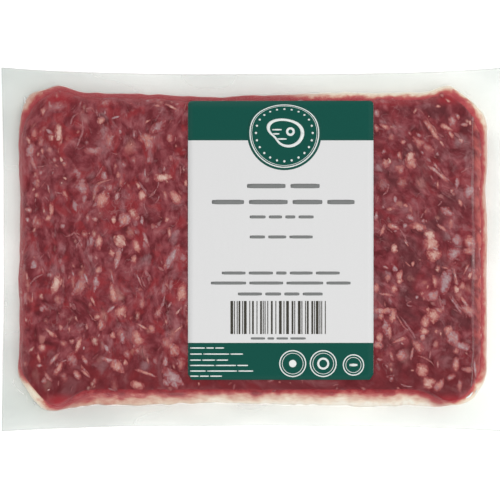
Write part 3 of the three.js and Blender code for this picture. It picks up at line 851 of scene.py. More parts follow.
    (52.5, -16.5, 2.2, 3.2, 10, 0.42, 0.05), (56.8, -19.3, 1.1, 5, 85, 0.55, 0.1),
    (57.5, -12.2, 2.3, 2.6, 0, 0.48, 0.25), (82.2, -14, 4.2, 8.2, -4, 0.98, 0),
    (77.6, -13.5, 1.9, 4.4, 5, 0.44, 0.05), (79.1, -7.9, 1.8, 2.6, 0, 0.48, 0.3),
    (86.7, -11.6, 1, 6.4, 10, 0.5, 0), (92.9, -11.1, 1.5, 3, -25, 0.25, 0),
    (91.2, -8.4, 0.9, 5, -25, 0.5, 0.1), (87.2, -17.2, 1.9, 2.9, 10, 0.25, 0),
    (90, -21.8, 1.1, 8, 33, 0.5, 0), (89.4, -15.6, 2.2, 4, -20, 0.44, 0.05),
    (92, -26, 3.2, 5.4, 55, 0.5, 0), (86.5, -23.6, 1.4, 8, 35, 0.85, 0.2),
    (74.7, -15.9, 1.1, 1.9, -30, 0.35, 0), (77.2, -20, 4.2, 4.4, -20, 0.68, 0),
    (77.1, -27.8, 4.2, 5, -25, 0.32, 0), (73.6, -31.4, 3.2, 4.8, 0, 0.4, 0),
    (74.7, -25.8, 1.5, 2, 0, 0.48, 0.1), (73.3, -35, 3, 3.2, 0, 0.4, 0), (72.5, -37.6, 1.9, 2.5, 0, 0.5, 0),
    (70, -20.4, 1, 1.3, 0, 0.9, 0), (55.6, -26.2, 2.4, 7, 88, 0.5, 0), (59.7, -28.8, 2.3, 5.2, -8, 0.42, 0),
    (54.6, -28.8, 2.4, 3, 0, 0.46, 0.2), (56.4, -33, 2.5, 5.2, 10, 0.8, 0.1),
    (58.2, -35, 2.2, 4.4, 0, 0.44, 0.05), (53.9, -38, 2.5, 4, 0, 0.42, 0),
    (53.2, -41, 3.4, 2.5, 0, 0.55, 0), (63.2, -38.7, 1.7, 5.2, -68, 0.55, 0),
    (63.6, -45.2, 3.2, 3.9, 0, 0.65, 0), (67.9, -44.8, 1.2, 3.8, -10, 0.6, 0.1),
    (83.4, -34.6, 3, 3.4, 20, 0.36, 0), (85.8, -37.8, 5, 5, 0, 0.7, 0), (89.6, -41.6, 2.9, 7, 75, 0.78, 0),
    (86.9, -43.8, 2.2, 2.5, 0, 0.46, 0.2), (78.3, -40.8, 2.6, 3.4, 0, 0.48, 0.35),
    (72.3, -52, 4.4, 4.6, -20, 0.36, 0), (75.1, -57.3, 4, 4.2, 10, 0.22, 0),
    (79.6, -58.2, 2.6, 4.2, -35, 0.5, 0.05), (86.9, -49.4, 2.3, 4.6, -10, 0.42, 0),
    (95, -51.2, 1, 5.8, 5, 0.88, 0), (84.7, -55, 1.8, 3.6, -50, 0.65, 0.25),
    (88.4, -58.4, 1.9, 4.4, 0, 0.6, 0.3), (78.3, -35.4, 1.3, 1.6, 0, 0.5, 0.1),
    (53.9, -47.2, 1.3, 2.2, 85, 0.85, 0.1), (81.4, -25, 1.1, 4, 0, 0.6, 0.4),
    (79, -49.4, 1.2, 2.4, 0, 0.6, 0.2),
]
seen = np.array(SEEN_CRUMBS)
print(len(seen), "crumbs are placed by hand")

# %% [markdown]
# The others fall where chance puts them, and lie along the strands. Each point of a crumb is
# set on the meat below it, so no rim stands off. Crumbs on the side are laid on the rings of
# the mince itself.

# %% Scatter the rest
UP = np.array([0.0, 0.0, 1.0])
VISIBLE_SHARE = 1.55  # the rim of a crumb takes the meat's colour, so it is drawn larger
ON_TOP, BELOW, ROUND_SIDE = 330, 380, 300
CRUMB_KINDS, KIND_SHARES = [0.2, 0.45, 0.6, 0.85], [0.2, 0.36, 0.2, 0.24]
UNDER_LABEL = 2  # how far under the label things are still laid


def turned(level, degrees):
    """Level vectors turned anticlockwise: cosine times the vector, sine times its cross."""
    angle = np.radians(degrees)[:, None]
    return level * np.cos(angle) + np.cross(UP, level) * np.sin(angle)


def scattered(count, shape, smallest, usual):
    """Seeded places in an outline, well inside its edge, with log-normal sizes, longer along."""
    spread_a, spread_b = rng.uniform(-0.99, 0.99, (2, count))
    plan = plan_in(shape, spread_a, spread_b)
    width = smallest + usual * rng.lognormal(0, 0.55, count)
    size = np.stack([width, width * rng.uniform(1.0, 2.4, count)], -1)
    inside = depth_inside(shape, plan[:, 0], plan[:, 1]) > 0.6 * size[:, 1]
    return plan[inside], size[inside]


def clear_of_label(plan, size):
    """Only those that the label doesn't hide."""
    low, high = label_low[:2] + UNDER_LABEL, label_high[:2] - UNDER_LABEL
    shows = np.any((plan < low) | (plan > high), axis=1)
    return plan[shows], size[shows]


def tones(count):
    """Most crumbs are salmon, some are lavender and few are cream."""
    return np.clip(rng.choice(CRUMB_KINDS, count, p=KIND_SHARES) + rng.normal(0, 0.08, count), 0, 1)


def meat_level(x, y, furrow=FURROW):
    """The meat's upper surface out to its widest outline: the top, then a quarter ellipse down."""
    above, beside = depth_inside(meat_top, x, y), depth_inside(meat_widest, x, y)
    out = np.clip(-above / np.maximum(beside - above, 0.1), 0, 0.97)
    return mix(MARGIN_HEIGHT, meat_height(x, y, furrow), np.sqrt(1 - out ** 2))


def lid_crumbs(plan, size, along, own, facing):
    """Crumbs on the top or the underside, each point set on the meat's own surface."""
    offset, height = crumb_offsets(size, own)
    across = np.cross(along, facing * UP)
    points = at_level(plan[:, :1], plan[:, 1:])
    points = points + offset[..., :1] * across[:, None] + offset[..., 1:] * along[:, None]
    level = meat_level(points[..., 0], points[..., 1], 0.0) if facing > 0 else FILM_GAP
    points[..., 2] = level + facing * height
    return points


print(ON_TOP, "crumbs on top,", BELOW, "below and", ROUND_SIDE, "round the side are tried")

# %% Crumbs on the top and the underside
seen_turn = np.radians(seen[:, 4])
plan, size = clear_of_label(*scattered(ON_TOP, meat_widest, 0.4, 0.85))
lean = turned(strand_direction(plan), rng.normal(0, 25, len(plan)))
top_plan = np.concatenate([seen[:, :2], plan])
top_size = np.concatenate([seen[:, 2:4], size]) * VISIBLE_SHARE
top_along = np.concatenate([at_level(-np.sin(seen_turn), np.cos(seen_turn)), lean])
top_crumbs = lid_crumbs(top_plan, top_size, top_along, np.arange(len(top_plan)), 1.0)
top_tones = np.concatenate([seen[:, 5], tones(len(plan))])
top_depths = np.concatenate([seen[:, 6], np.clip(rng.normal(0.45, 0.22, len(plan)), 0.05, 0.85)])

plan, size = scattered(BELOW, meat_base, 0.6, 1.2)
low_crumbs = lid_crumbs(plan, size * VISIBLE_SHARE, strand_direction(plan), 900 + np.arange(len(plan)), -1.0)
print(len(top_crumbs), "crumbs on top and", len(low_crumbs), "below")

# %% Crumbs round the side
ring_at = rng.integers(2, len(meat_side) - 2, ROUND_SIDE)
spot = rng.integers(0, meat_side.shape[1], ROUND_SIDE)
free = (meat_side[ring_at, spot, 1] > -60) | (np.abs(meat_side[ring_at, spot, 0]) > 90)
ring_at, spot = ring_at[free], spot[free]
along = meat_side[ring_at, (spot + 1) % meat_side.shape[1]] - meat_side[ring_at, spot - 1]
side_out = np.cross(along, meat_side[ring_at - 1, spot] - meat_side[ring_at + 1, spot])
along, side_out = (v / np.linalg.norm(v, axis=1, keepdims=True) for v in (along, side_out))
width = 0.7 + 0.9 * rng.lognormal(0, 0.4, len(spot))
offset, height = crumb_offsets(np.stack([width, width * 1.4], -1), 2000 + np.arange(len(spot)))
side_crumbs = (meat_side[ring_at, spot][:, None] + offset[..., :1] * np.cross(along, side_out)[:, None]
               + offset[..., 1:] * along[:, None] + height[:, None] * side_out[:, None])

hidden_count = len(low_crumbs) + len(side_crumbs)
crumb_points = np.concatenate([top_crumbs, low_crumbs, side_crumbs])
crumb_tones = np.concatenate([top_tones, tones(hidden_count)])
crumb_depths = np.concatenate([top_depths, rng.uniform(0, 0.5, hidden_count)])
print(len(crumb_points), "crumbs of fat in all")

# %% [markdown]
# Beef fat is cream to salmon where it is thick, and a thin skin of it over lean looks
# lavender. Its edges are soft, because lean and juice lie over them. So the crumb takes the
# lean meat's own colour at its rim, with a ragged border between, and turns paler inward.
# The attribute fat tells the material a crumb's tone, how deep it is buried, and how near
# its rim a point is. Sinew is made the same way later, so the material is a function.

# %% Fat material
def fat_material_for(name, ragged_width, border, soft, most):
    """Fat or tissue that fades into the lean round it. How far inward a point lies, and its
    tone, are sums of patterns and attributes, each times a weight."""
    material, tree = new_material(name)
    own_tone, buried, rim = channels(tree, "fat")
    lean_below, _ = lean_colour(tree)
    ragged = grain_pattern(tree, ragged_width, ragged_width * 1.3, 3.0, 0.6, 0.6, seed=81.0)
    clouding = grain_pattern(tree, 1.4, 2.0, 4.0, 0.65, 0.6, seed=91.0)
    inward, tone = border - 0.75, -0.88
    for socket, weight in ((ragged, 1.5), (rim, -1.0), (buried, -0.3)):
        inward = put(tree, "Math", (socket, weight, inward), operation="MULTIPLY_ADD")
    for socket, weight in ((clouding, 1.7), (own_tone, 1.0), (rim, 0.25)):
        tone = put(tree, "Math", (socket, weight, tone), operation="MULTIPLY_ADD")
    fat_colour = put(tree, "ValToRGB", (tone,), FAT_TONES)
    thick, shows = (put(tree, "MapRange", (inward, begins, full, 0.0, top), interpolation_type="SMOOTHSTEP")
                    for begins, full, top in ((0.3, 0.9, 1.0), (0.0, soft * 2.6, most)))
    fat_colour = laid_over(tree, fat_colour, "#ecd8d0", clouding, 0.45, 0.7, 0.5, thick)
    unburied = put(tree, "Math", (buried, -0.9, 1.0), operation="MULTIPLY_ADD")
    colour = laid_over(tree, lean_below, "#a4474a", inward, -soft * 1.6, soft * 1.3, most * 0.75, unburied)
    colour = laid_over(tree, colour, fat_colour, inward, 0.0, soft * 2.6, most, unburied)
    meat_surface(tree, colour, put(tree, "Math", (clouding, shows), operation="MULTIPLY"), 0.42)
    return material


fat_paint = paint(crumb_rim[None] * 0 + crumb_tones[:, None], crumb_depths[:, None], crumb_rim[None])
crumb_count, crumb_points = len(crumb_points), crumb_points.reshape(-1, 3)
fat = make_piece("fat_crumbs", crumb_points, crumb_faces(crumb_count),
                 fat_material_for("beef fat crumbs", 1.3, 0.9, 0.24, 0.92),
                 fat=fat_paint, grain=grain_of(crumb_points), place=place_paint(crumb_points))

# %% [markdown]
# ## Sinew
#
# Thin pale bands of connective tissue lie in the meat, from 2 to 8 mm long and up to 1 mm
# wide. A few branch, and those are drawn one by one. The others start at seeded places and take
# small steps along the strands, bending on their own. Each is a flattened tube.

# %% Threads drawn one by one
SEEN_THREADS = [
    ([(-81.6, 5.2), (-79.6, 5.5), (-77.4, 7.2), (-75.6, 5.0), (-74.4, 3.4), (-74.0, 0.2)], 1.0),
    ([(-77.0, 6.8), (-76.0, 7.0), (-74.7, 6.2)], 0.6), ([(-74.6, 3.6), (-76.0, 1.6), (-76.2, 0.4)], 0.6),
    ([(-86.2, 24.9), (-84.0, 24.4), (-81.8, 24.6), (-81.2, 22.4), (-80.2, 20.6)], 0.9),
    ([(-82.6, 28.2), (-82.2, 26.0), (-81.7, 24.4)], 0.6),
    ([(-79.2, 53.4), (-77.6, 57.3), (-75.0, 58.9)], 0.7),
    ([(-75.0, 58.7), (-72.4, 60.2), (-70.0, 61.2), (-68.4, 58.6)], 0.7),
    ([(-73.8, 56.8), (-73.6, 53.0), (-73.8, 50.0), (-75.4, 46.4), (-76.8, 42.4)], 0.9),
    ([(-49.8, 29.4), (-48.2, 27.6), (-46.8, 25.0), (-47.4, 22.2)], 1.0),
    ([(-64.6, 36.4), (-66.0, 33.8), (-68.2, 31.0)], 0.6),
    ([(-69.8, 26.6), (-66.2, 28.8), (-60.6, 30.4)], 0.8),
    ([(-47.2, 20.6), (-46.8, 17.4), (-45.8, 15.0)], 0.7),
    ([(-41.4, 26.0), (-43.4, 24.2), (-45.8, 22.2)], 0.8),
    ([(-40.8, 30.0), (-41.0, 27.8), (-41.6, 25.6)], 0.6),
    ([(-58.4, 24.8), (-56.6, 27.6), (-54.6, 29.0)], 0.6),
    ([(-96.6, -15.8), (-94.6, -12.8), (-92.0, -11.0), (-90.2, -10.2)], 0.7),
    ([(-38.4, -18.0), (-38.6, -22.0), (-40.0, -26.0), (-41.6, -29.4)], 0.9),
    ([(-48.6, -11.4), (-47.6, -14.0), (-46.4, -16.6)], 0.8),
    ([(-58.8, -35.0), (-57.6, -33.6), (-57.0, -31.8)], 0.6),
    ([(-71.0, -27.6), (-69.4, -29.8), (-67.0, -30.6)], 0.6),
    ([(-74.4, -49.0), (-73.0, -52.0), (-70.4, -54.4)], 0.9),
    ([(55.4, 30.6), (57.8, 28.0), (57.4, 24.8), (55.0, 22.6)], 0.7),
    ([(63.0, -29.0), (66.6, -33.6), (69.6, -38.6)], 0.8),
    ([(59.6, -26.0), (64.0, -32.6), (67.8, -36.0)], 0.7),
    ([(84.8, -19.6), (86.8, -23.0), (90.0, -26.4)], 0.9),
    ([(79.4, -19.0), (80.2, -23.0), (81.6, -26.8)], 0.7), ([(94.4, 0.4), (94.2, -4.0), (94.8, -7.6)], 0.8),
    ([(85.8, -7.6), (86.4, -11.0), (87.0, -15.4)], 1.0), ([(74.0, 56.8), (76.6, 53.0), (79.8, 47.4)], 0.9),
    ([(76.0, 37.0), (79.4, 34.8), (81.2, 31.2), (84.6, 29.2)], 1.0),
    ([(70.0, -45.6), (74.0, -46.4), (77.4, -50.2)], 0.6), ([(88.6, 33.0), (91.0, 34.8), (94.2, 35.4)], 0.8),
    ([(62.2, 9.6), (64.4, 5.8), (66.4, 2.2)], 0.8),
]
print(len(SEEN_THREADS), "threads are drawn by hand")

# %% Paths and tubes
THREAD_STEPS, THREAD_SIDES = 8, 6
TUBE_END = 0.3  # the sine that draws a tube in begins this far from zero


def along_line(points, steps):
    """Evenly spaced points on a hand-drawn line."""
    points = np.array(points, float)
    travelled = np.append(0, np.cumsum(np.linalg.norm(np.diff(points, axis=0), axis=1)))
    wanted = np.linspace(0, travelled[-1], steps + 1)
    return np.stack([np.interp(wanted, travelled, points[:, axis]) for axis in (0, 1)], -1)


def thread_paths(plan, lengths, bends):
    """Points along each thread, walked step by step along the strands."""
    path = [plan]
    for step in range(THREAD_STEPS):
        heading = turned(strand_direction(path[-1]), bends[:, 0] + bends[:, 1] * step)
        path.append(path[-1] + heading[:, :2] * lengths[:, None] / THREAD_STEPS)
    return np.stack(path, 1)


def flat_tubes(path, height, widths, tallness):
    """Closed flattened tubes along paths: a ring at each path point, widths across the path
    and tallness high, drawn in at both ends by a sine."""
    along = np.gradient(path, axis=1)
    along = along / np.linalg.norm(along, axis=-1, keepdims=True)
    across = np.stack([along[..., 1], -along[..., 0]], -1)
    taper = np.sin(np.linspace(TUBE_END, math.pi - TUBE_END, path.shape[1]))[None, :, None]
    turn = np.arange(THREAD_SIDES) * 2 * math.pi / THREAD_SIDES
    wide = widths[..., None] / 2 * taper * np.cos(turn)
    tall = tallness * taper * np.sin(turn)
    plan = path[:, :, None] + across[:, :, None] * wide[..., None]
    points = at_level(plan[..., 0], plan[..., 1], height[:, :, None] + tall)
    rings = np.arange(path.shape[1] * THREAD_SIDES).reshape(path.shape[1], THREAD_SIDES)
    first = (np.arange(len(path)) * rings.size)[:, None, None]
    walls = ring_faces(rings[:, ::-1])[None] + first
    ends = np.stack([rings[0], rings[-1, ::-1]])[None] + first
    return points.reshape(-1, 3), [walls.reshape(-1, 4), ends.reshape(-1, THREAD_SIDES)]


print("a thread has", (THREAD_STEPS + 1) * THREAD_SIDES, "points")

# %% Sinew threads
THREADS = 200
THREAD_TALLNESS, THREAD_LIFT = 0.11, 0.03
HAND_DEPTH = 0.15

plan, size = clear_of_label(*scattered(THREADS, meat_widest, 0.35, 0.35))
lengths = 1.3 + 1.8 * rng.lognormal(0, 0.45, len(plan))
bends = np.stack([rng.normal(0, 34, len(plan)), rng.normal(0, 3.5, len(plan))], -1)
path = thread_paths(plan, lengths, bends)
kept = depth_inside(meat_widest, path[..., 0], path[..., 1]).min(1) > 1.2
hand_paths = np.stack([along_line(points, THREAD_STEPS) for points, _ in SEEN_THREADS])
hand_paths = hand_paths + 0.35 * np.stack([noise_over(hand_paths, 1.8, seed) for seed in (51, 52)], -1)
path = np.concatenate([hand_paths, path[kept]])
widths = np.concatenate([[width * 1.5 for _, width in SEEN_THREADS], size[kept, 0] * 1.4])
uneven = 1 + 0.45 * noise_over(path, 1.4, 53)
level = meat_level(path[..., 0], path[..., 1]) + THREAD_LIFT
thread_points, thread_faces = flat_tubes(path, level, widths[:, None] * uneven, THREAD_TALLNESS)

ring_side = np.abs(np.cos(np.arange(THREAD_SIDES) * 2 * math.pi / THREAD_SIDES)) ** 1.5
path_end = np.abs(np.linspace(-1, 1, THREAD_STEPS + 1)) ** 3 * 0.8
thread_tones = np.clip(rng.normal(0.74, 0.16, len(path)), 0.3, 1)[:, None, None]
thread_depths = np.clip(rng.normal(0.42, 0.2, len(path)), 0, 0.85)
thread_depths[:len(SEEN_THREADS)] = HAND_DEPTH
thread_rim = np.maximum(ring_side[None], path_end[:, None])[None]
sinew = make_piece("sinew_threads", thread_points, thread_faces,
                   fat_material_for("sinew threads", 0.9, 0.86, 0.34, 0.72),
                   fat=paint(thread_tones, thread_depths[:, None, None], thread_rim),
                   grain=grain_of(thread_points), place=place_paint(thread_points))

# %% [markdown]
# ## Pressed-out juice and fat
#
# The vacuum pulls the two films together round the meat, and juice and soft fat are squeezed
# into the wedge that is left. It is widest at the front, where it runs from red at the meat
# through pink to cream at the seal. It is one closed ring. Its outside follows the film, its
# inside is hidden in the meat. Soft fat gathers at the corners, along the right and at the
# back right, and on the left the seam stays thin and red.

# %% Where the soft fat gathers
FILM_HALF_THICKNESS = 0.12


def film_lids(grid_a, grid_b):
    """The film's top and bottom sheets over the slab, as points."""
    x, y = place_in(flat_top, grid_a, grid_b)
    upper = at_level(x, y, crown_height(x, y) + strand_relief(x, y))
    return upper, at_level(*place_in(base, grid_a, grid_b), 0.0)


def web_share(grid_a, grid_b):
    """1 on the front web between the ears and 0 on the other sides."""
    x, _ = place_in(widest, grid_a, grid_b)
    return np.where(grid_b < 0, between_ears(x) * smoothstep(-grid_b, 0.8, 1), 0)


lid_border, floor_border = film_lids(border_a, border_b)
seam_plan = plan_in(widest, border_a, border_b)
seam_x, seam_y = seam_plan.T
web = web_share(border_a, border_b)
from_corner = np.hypot(np.abs(seam_x) - 92, np.abs(seam_y) - 60)
back_left = (seam_x < 0) & (seam_y > 0)
front_left = np.exp(-((seam_x + 96) ** 2 + (seam_y + 63) ** 2) / 45)
at_corners = (1 - smoothstep(from_corner, 6, 16)) * (1 - 0.35 * back_left)
at_back_right = smoothstep(seam_x, 0, 40) * smoothstep(seam_y, 35, 62)
cream_share = np.maximum.reduce([at_corners, 0.5 * smoothstep(seam_x, 96, 99), at_back_right])
print("share of the seam with soft fat", round(float((cream_share > 0.5).mean()), 2))

# %% Seam of juice
SEAM_STEPS = 12
SKIN, SCALLOP, SCALLOP_SPACING = 0.2, 0.6, 5.0  # how far the seam stays inside the film
SUNK_IN_MEAT = 0.3
SEAM_STARTS, CREAM_STARTS, WEB_STARTS, EARLIER_FRONT_LEFT = 0.6, 0.3, 0.04, 0.2

seam_start = mix(mix(SEAM_STARTS, CREAM_STARTS, cream_share), WEB_STARTS, web)
seam_start = seam_start - EARLIER_FRONT_LEFT * front_left
scallops = SCALLOP * np.abs(noise_over(seam_plan, SCALLOP_SPACING, 43)) * web
seam_outward = outward_of(seam_plan)


def seam_surface(film_face, meat_face, share, facing):
    """From the meat's surface (share 0) to just inside the film (share 1): both are the same
    quarter ellipse, and the seam leaves the meat for the film in a soft step."""
    turn = mix(seam_start, 1.0, share)
    film = shoulder(film_face, seam_plan, MARGIN_HEIGHT, turn, web if facing > 0 else 0 * web)
    inside_film = film - seam_outward * ((SKIN + scallops) * turn)[:, None]
    inside_film[:, 2] -= facing * FILM_GAP * (1 - share)
    in_meat = shoulder(meat_face, wide, MARGIN_HEIGHT, turn) - outward * SUNK_IN_MEAT
    return mix(in_meat, inside_film, smoothstep(share, 0.0, mix(0.5, 0.22, web))[:, None])


shares = np.linspace(0, 1, SEAM_STEPS)
shares_back = shares[-2::-2]
seam_rings = np.stack([seam_surface(lid_border, lid_rim, share, 1.0) for share in shares]
                      + [seam_surface(floor_border, floor_rim, share, -1.0) for share in shares_back])
ring_numbers = np.arange(seam_rings[..., 0].size).reshape(seam_rings.shape[:2])
seam_faces = ring_faces(np.concatenate([ring_numbers, ring_numbers[:1]]))

seam_share = np.concatenate([shares, shares_back])[:, None]
squashed = seam_rings * (1, 1, 0.3)
uneven = mix(0.16, 0.26, web) * noise(squashed, 8.0, 41) + mix(0.1, 0.16, web) * noise(squashed, 2.6, 42)
less_fat = (0.45 * (1 - smoothstep(seam_x, -66.0, 0.0)) - 0.2 * smoothstep(seam_x, 25, 45)) * web
spread = seam_share ** (1 - 0.68 * front_left - 0.14 * smoothstep(seam_x, 97, 99))
fat_share = np.clip(spread * (1 - less_fat) + uneven * np.sin(seam_share * math.pi), 0, 1)
print("the seam has", len(seam_rings), "rings")

# %% [markdown]
# Juice is a dark red where it lies against the meat. Further out it carries more and more
# fat, through pink to cream. The front web, the poor left side and the rich corners each
# have a ramp of their own, and the attribute seam says where on it a point lies, how far it
# belongs to the web, and how much soft fat there is.

# %% Juice
WEB_TONES = [(0.0, "#821a24"), (0.14, "#98262f"), (0.28, "#b65552"), (0.42, "#cc9484"), (0.6, "#debdaa"),
             (0.8, "#eedccb"), (1.0, "#f4ede2")]
POOR_TONES = [(0.0, "#92242e"), (0.5, "#a4323a"), (0.8, "#b85250"), (1.0, "#e0b4a8")]
RICH_TONES = [(0.0, "#9c2c36"), (0.15, "#b04048"), (0.27, "#be5c58"), (0.36, "#d6a08c"), (0.5, "#ecdac6"),
              (1.0, "#f3eadb")]
CLOUD_SIZE, SPECK_SIZE = 3.0, 1.6

juice_material, tree = new_material("pressed-out juice and soft fat")
own_share, in_web, richness = channels(tree, "seam")
place = put(tree, "TexCoord").outputs["Object"]
cloud = put(tree, "TexNoise", {"Vector": place, "Scale": 1 / (CLOUD_SIZE * MM), "Detail": 4.0})
wander = put(tree, "Math", (cloud, 0.5, -0.25), operation="MULTIPLY_ADD")
out_share = put(tree, "Math", (own_share, wander), operation="ADD", use_clamp=True)
web_tone, poor, rich = (put(tree, "ValToRGB", (out_share,), ramp)
                        for ramp in (WEB_TONES, POOR_TONES, RICH_TONES))
side_colour = put(tree, "Mix", (richness, poor, rich), data_type="RGBA")
colour = put(tree, "Mix", (in_web, side_colour, web_tone), data_type="RGBA")
specks = put(tree, "TexNoise", {"Vector": place, "Scale": 1 / (SPECK_SIZE * MM), "Detail": 4.0,
                                "Roughness": 0.7})
away = put(tree, "MapRange", (out_share, 0.3, 0.6, 0.0, 1.0), interpolation_type="SMOOTHSTEP")
meat_surface(tree, laid_over(tree, colour, "#b98c74", specks, 0.5, 0.75, 0.38, away), cloud, 0.35)
juice = make_piece("pressed_juice", seam_rings, [seam_faces], juice_material,
                   seam=paint(fat_share, web, cream_share))

# %% [markdown]
# ## The film
#
# Vacuum film is polyamide and polyethylene, clear and glossy, about 0.1 mm thick. It is one
# closed skin here: over the meat, out along the margin, round the free edge and back below.
# Pulled by the vacuum, the margin ripples.

# %% Film shape
FILM_ROWS, FILM_COLUMNS = 130, 200
SHOULDER_RINGS, MARGIN_RINGS = 8, 9
RIPPLE, RIPPLE_LENGTH, DROOP = 0.7, 58.0, 1.2
PUCKER, PUCKER_SPACING = 0.16, 6.0


def margin_ring(grid_a, grid_b, reach, facing):
    """Ring of the film margin, from the slab (reach 0) to the free edge (reach 1)."""
    plan = mix(plan_in(widest, grid_a, grid_b), plan_in(film_edge, grid_a, grid_b), reach)
    x, y = np.moveaxis(plan, -1, 0)
    ripple = RIPPLE * np.sin(2 * math.pi * (x + y) / RIPPLE_LENGTH)
    pucker = PUCKER * noise_over(plan, PUCKER_SPACING, 61) * math.sin(math.pi * reach)
    height = MARGIN_HEIGHT + reach * (ripple - DROOP * reach) + pucker
    return at_level(x, y, height + facing * FILM_HALF_THICKNESS)


a, b = square_grid(FILM_ROWS, FILM_COLUMNS)
film_top, film_floor = film_lids(a, b)
row, column = border_places(FILM_ROWS, FILM_COLUMNS)
film_a, film_b = a[row, column], b[row, column]
film_wide, film_web = plan_in(widest, film_a, film_b), web_share(film_a, film_b)
turns = np.arange(1, SHOULDER_RINGS + 1) / SHOULDER_RINGS
reaches = np.concatenate([[0.015, 0.05], np.arange(1, MARGIN_RINGS) / MARGIN_RINGS, [0.96, 1.0]])
upper_z, lower_z = MARGIN_HEIGHT + FILM_HALF_THICKNESS, MARGIN_HEIGHT - FILM_HALF_THICKNESS
rings = np.stack([shoulder(film_top[row, column], film_wide, upper_z, turn, film_web) for turn in turns]
                 + [margin_ring(film_a, film_b, reach, 1) for reach in reaches]
                 + [margin_ring(film_a, film_b, reach, -1) for reach in reaches[::-1]]
                 + [shoulder(film_floor[row, column], film_wide, lower_z, turn) for turn in turns[::-1]])
film_points, film_faces = closed_pack(film_top, rings, film_floor)
print("film spans", np.round(np.ptp(film_points, axis=0), 1), "mm")

# %% [markdown]
# Film is never quite clear. It is almost so over the meat, and densest along the cut edge,
# where light is caught between the sheets. On the margin its milk is also painted shade and
# light: it is set place by place so the margin is greyer on the left than on the right, with
# soft painted bands of light across it. The attribute haze holds how milky a point is, this
# painted shade and light included, and how white that milk is.

# %% Haze of the film
HAZE_OVER_MEAT, HAZE_AT_EDGE, GREY_AT_EDGE = 0.012, 0.55, 0.55
# Haze round the margin, given place by place. The amounts are also painted shade and light: they set how
# grey the margin looks at each place.
SHADE_AND_HAZE_PLACES = [((-106, 74), 0.54), ((-106, 0), 0.20), ((-106, -74), 0.50), ((-30, 74), 0.31),
               ((-30, -74), 0.32), ((60, 74), 0.34), ((106, 60), 0.24), ((106, -30), 0.12),
               ((60, -74), 0.24)]
SOFTENED = 60.0  # square mm that keep a place from counting without limit


def margin_haze(points):
    """Haze and painted shade between the places where it is given: each counts by one over its
    squared distance. Soft painted bands of light and shade lie over it, from stretched noise."""
    total, weights = 0, 0
    for (place_x, place_y), haze in SHADE_AND_HAZE_PLACES:
        weight = 1 / ((points[..., 0] - place_x) ** 2 + (points[..., 1] - place_y) ** 2 + SOFTENED)
        total, weights = total + weight * haze, weights + weight
    # soft painted bands of light and shade across the margin, from stretched noise
    bands = 1 + 0.25 * noise(points * (0.5, 1.0, 0.2), 11.0, 71)
    return total / weights * bands


ring_reach = np.concatenate([0 * turns, reaches, reaches[::-1], 0 * turns])[:, None]
on_margin = np.concatenate([turns == 1, reaches >= 0, reaches >= 0, turns[::-1] == 1])[:, None]
at_edge = smoothstep(ring_reach, 0.965, 1.0)
# the film's haze, which on the margin carries the painted shade and light
ring_haze = mix(mix(HAZE_OVER_MEAT, margin_haze(rings), on_margin), HAZE_AT_EDGE, at_edge)
ring_paint = paint(ring_haze, mix(1.0, GREY_AT_EDGE, at_edge))
lid_paint = paint(np.full(film_top[..., 0].size, HAZE_OVER_MEAT), 1.0)
film_paint = np.concatenate([lid_paint, ring_paint.reshape(-1, 4), lid_paint])
print("haze from", round(float(ring_haze.min()), 2), "to", round(float(ring_haze.max()), 2))

# %% [markdown]
# A film shows what lies behind it, dims it a little and mirrors the sky where it is steep. So
# its material is clear first, takes a share of milky white from the haze attribute, which on
# the margin is also painted shade and light, and ends with a gloss that grows with the angle:
# the share seen head on, plus the rest times the fifth power of how far the film turns away.
# Worked out like this it is the same from inside as from outside, so light still reaches the meat.

# %% Film material
HEAD_ON = 0.014  # share of light that film mirrors when it is looked at squarely
MOST_MIRRORED = 0.28  # wet film on meat never turns into a full mirror
GREY_MILK, WHITE_MILK, CLEAR = "#a9adab", "#d6dbd8", "#fbfcfb"
WAVER_SIZE, WAVER_DEPTH = 5.0, 0.4

film_material, tree = new_material("clear glossy vacuum film")
haze, whiteness, _ = channels(tree, "haze")
milk_colour = put(tree, "Mix", (whiteness, linear(GREY_MILK), linear(WHITE_MILK)), data_type="RGBA")
milk = put(tree, "BsdfDiffuse", {"Color": milk_colour, "Roughness": 0.5})
clear = put(tree, "BsdfTransparent", {"Color": linear(CLEAR)})
sheet = put(tree, "MixShader", (haze, clear, milk))
place = put(tree, "TexCoord").outputs["Object"]
waver = put(tree, "TexNoise", {"Vector": place, "Scale": 1 / (WAVER_SIZE * MM), "Detail": 2.0})
bump = put(tree, "Bump", {"Height": waver, "Strength": 0.15, "Distance": WAVER_DEPTH * MM})
gloss = put(tree, "BsdfGlossy", {"Color": linear("#ffffff"), "Roughness": 0.2, "Normal": bump})
facing = put(tree, "LayerWeight", {"Blend": 0.5, "Normal": bump}).outputs["Facing"]
steep = put(tree, "Math", (facing, 5.0), operation="POWER")
mirrored = put(tree, "Math", (steep, MOST_MIRRORED - HEAD_ON, HEAD_ON), operation="MULTIPLY_ADD")
put(tree, "OutputMaterial", (put(tree, "MixShader", (mirrored, sheet, gloss)),))
film = make_piece("film", film_points, film_faces, film_material, haze=film_paint)

# %% [markdown]
# ## The label
#
# The label is white coated paper with rounded corners. It lies flat on the film and bends
# over the back shoulder of the pack. Its print is laid on as very thin sheets of ink, each
# with its own colour: two green bands, plain round badges, rows of plain bars and a bar code.

# %% Label surface
PAPER_THICKNESS = 0.12
PAPER_LIFT = 0.16  # top of the paper above the film
LABEL_CORNER = 1.6
CROWDING = 1.5  # rows of the label's grid lie closer towards the back, where it bends
label_left, label_front = label_low[:2]
label_right, label_back = label_high[:2]


def film_height_under_label(x, y):
    """The crowned top, and past its back edge the quarter ellipse of the shoulder."""
    flat_end = flat_top["y"][1] + edge_shift(flat_top, True, x)
    past = np.clip((y - flat_end) / (widest["y"][1] - flat_top["y"][1]), 0, 1)
    return mix(MARGIN_HEIGHT + FILM_HALF_THICKNESS, crown_height(x, np.minimum(y, flat_end)),
               np.sqrt(1 - past ** 2))


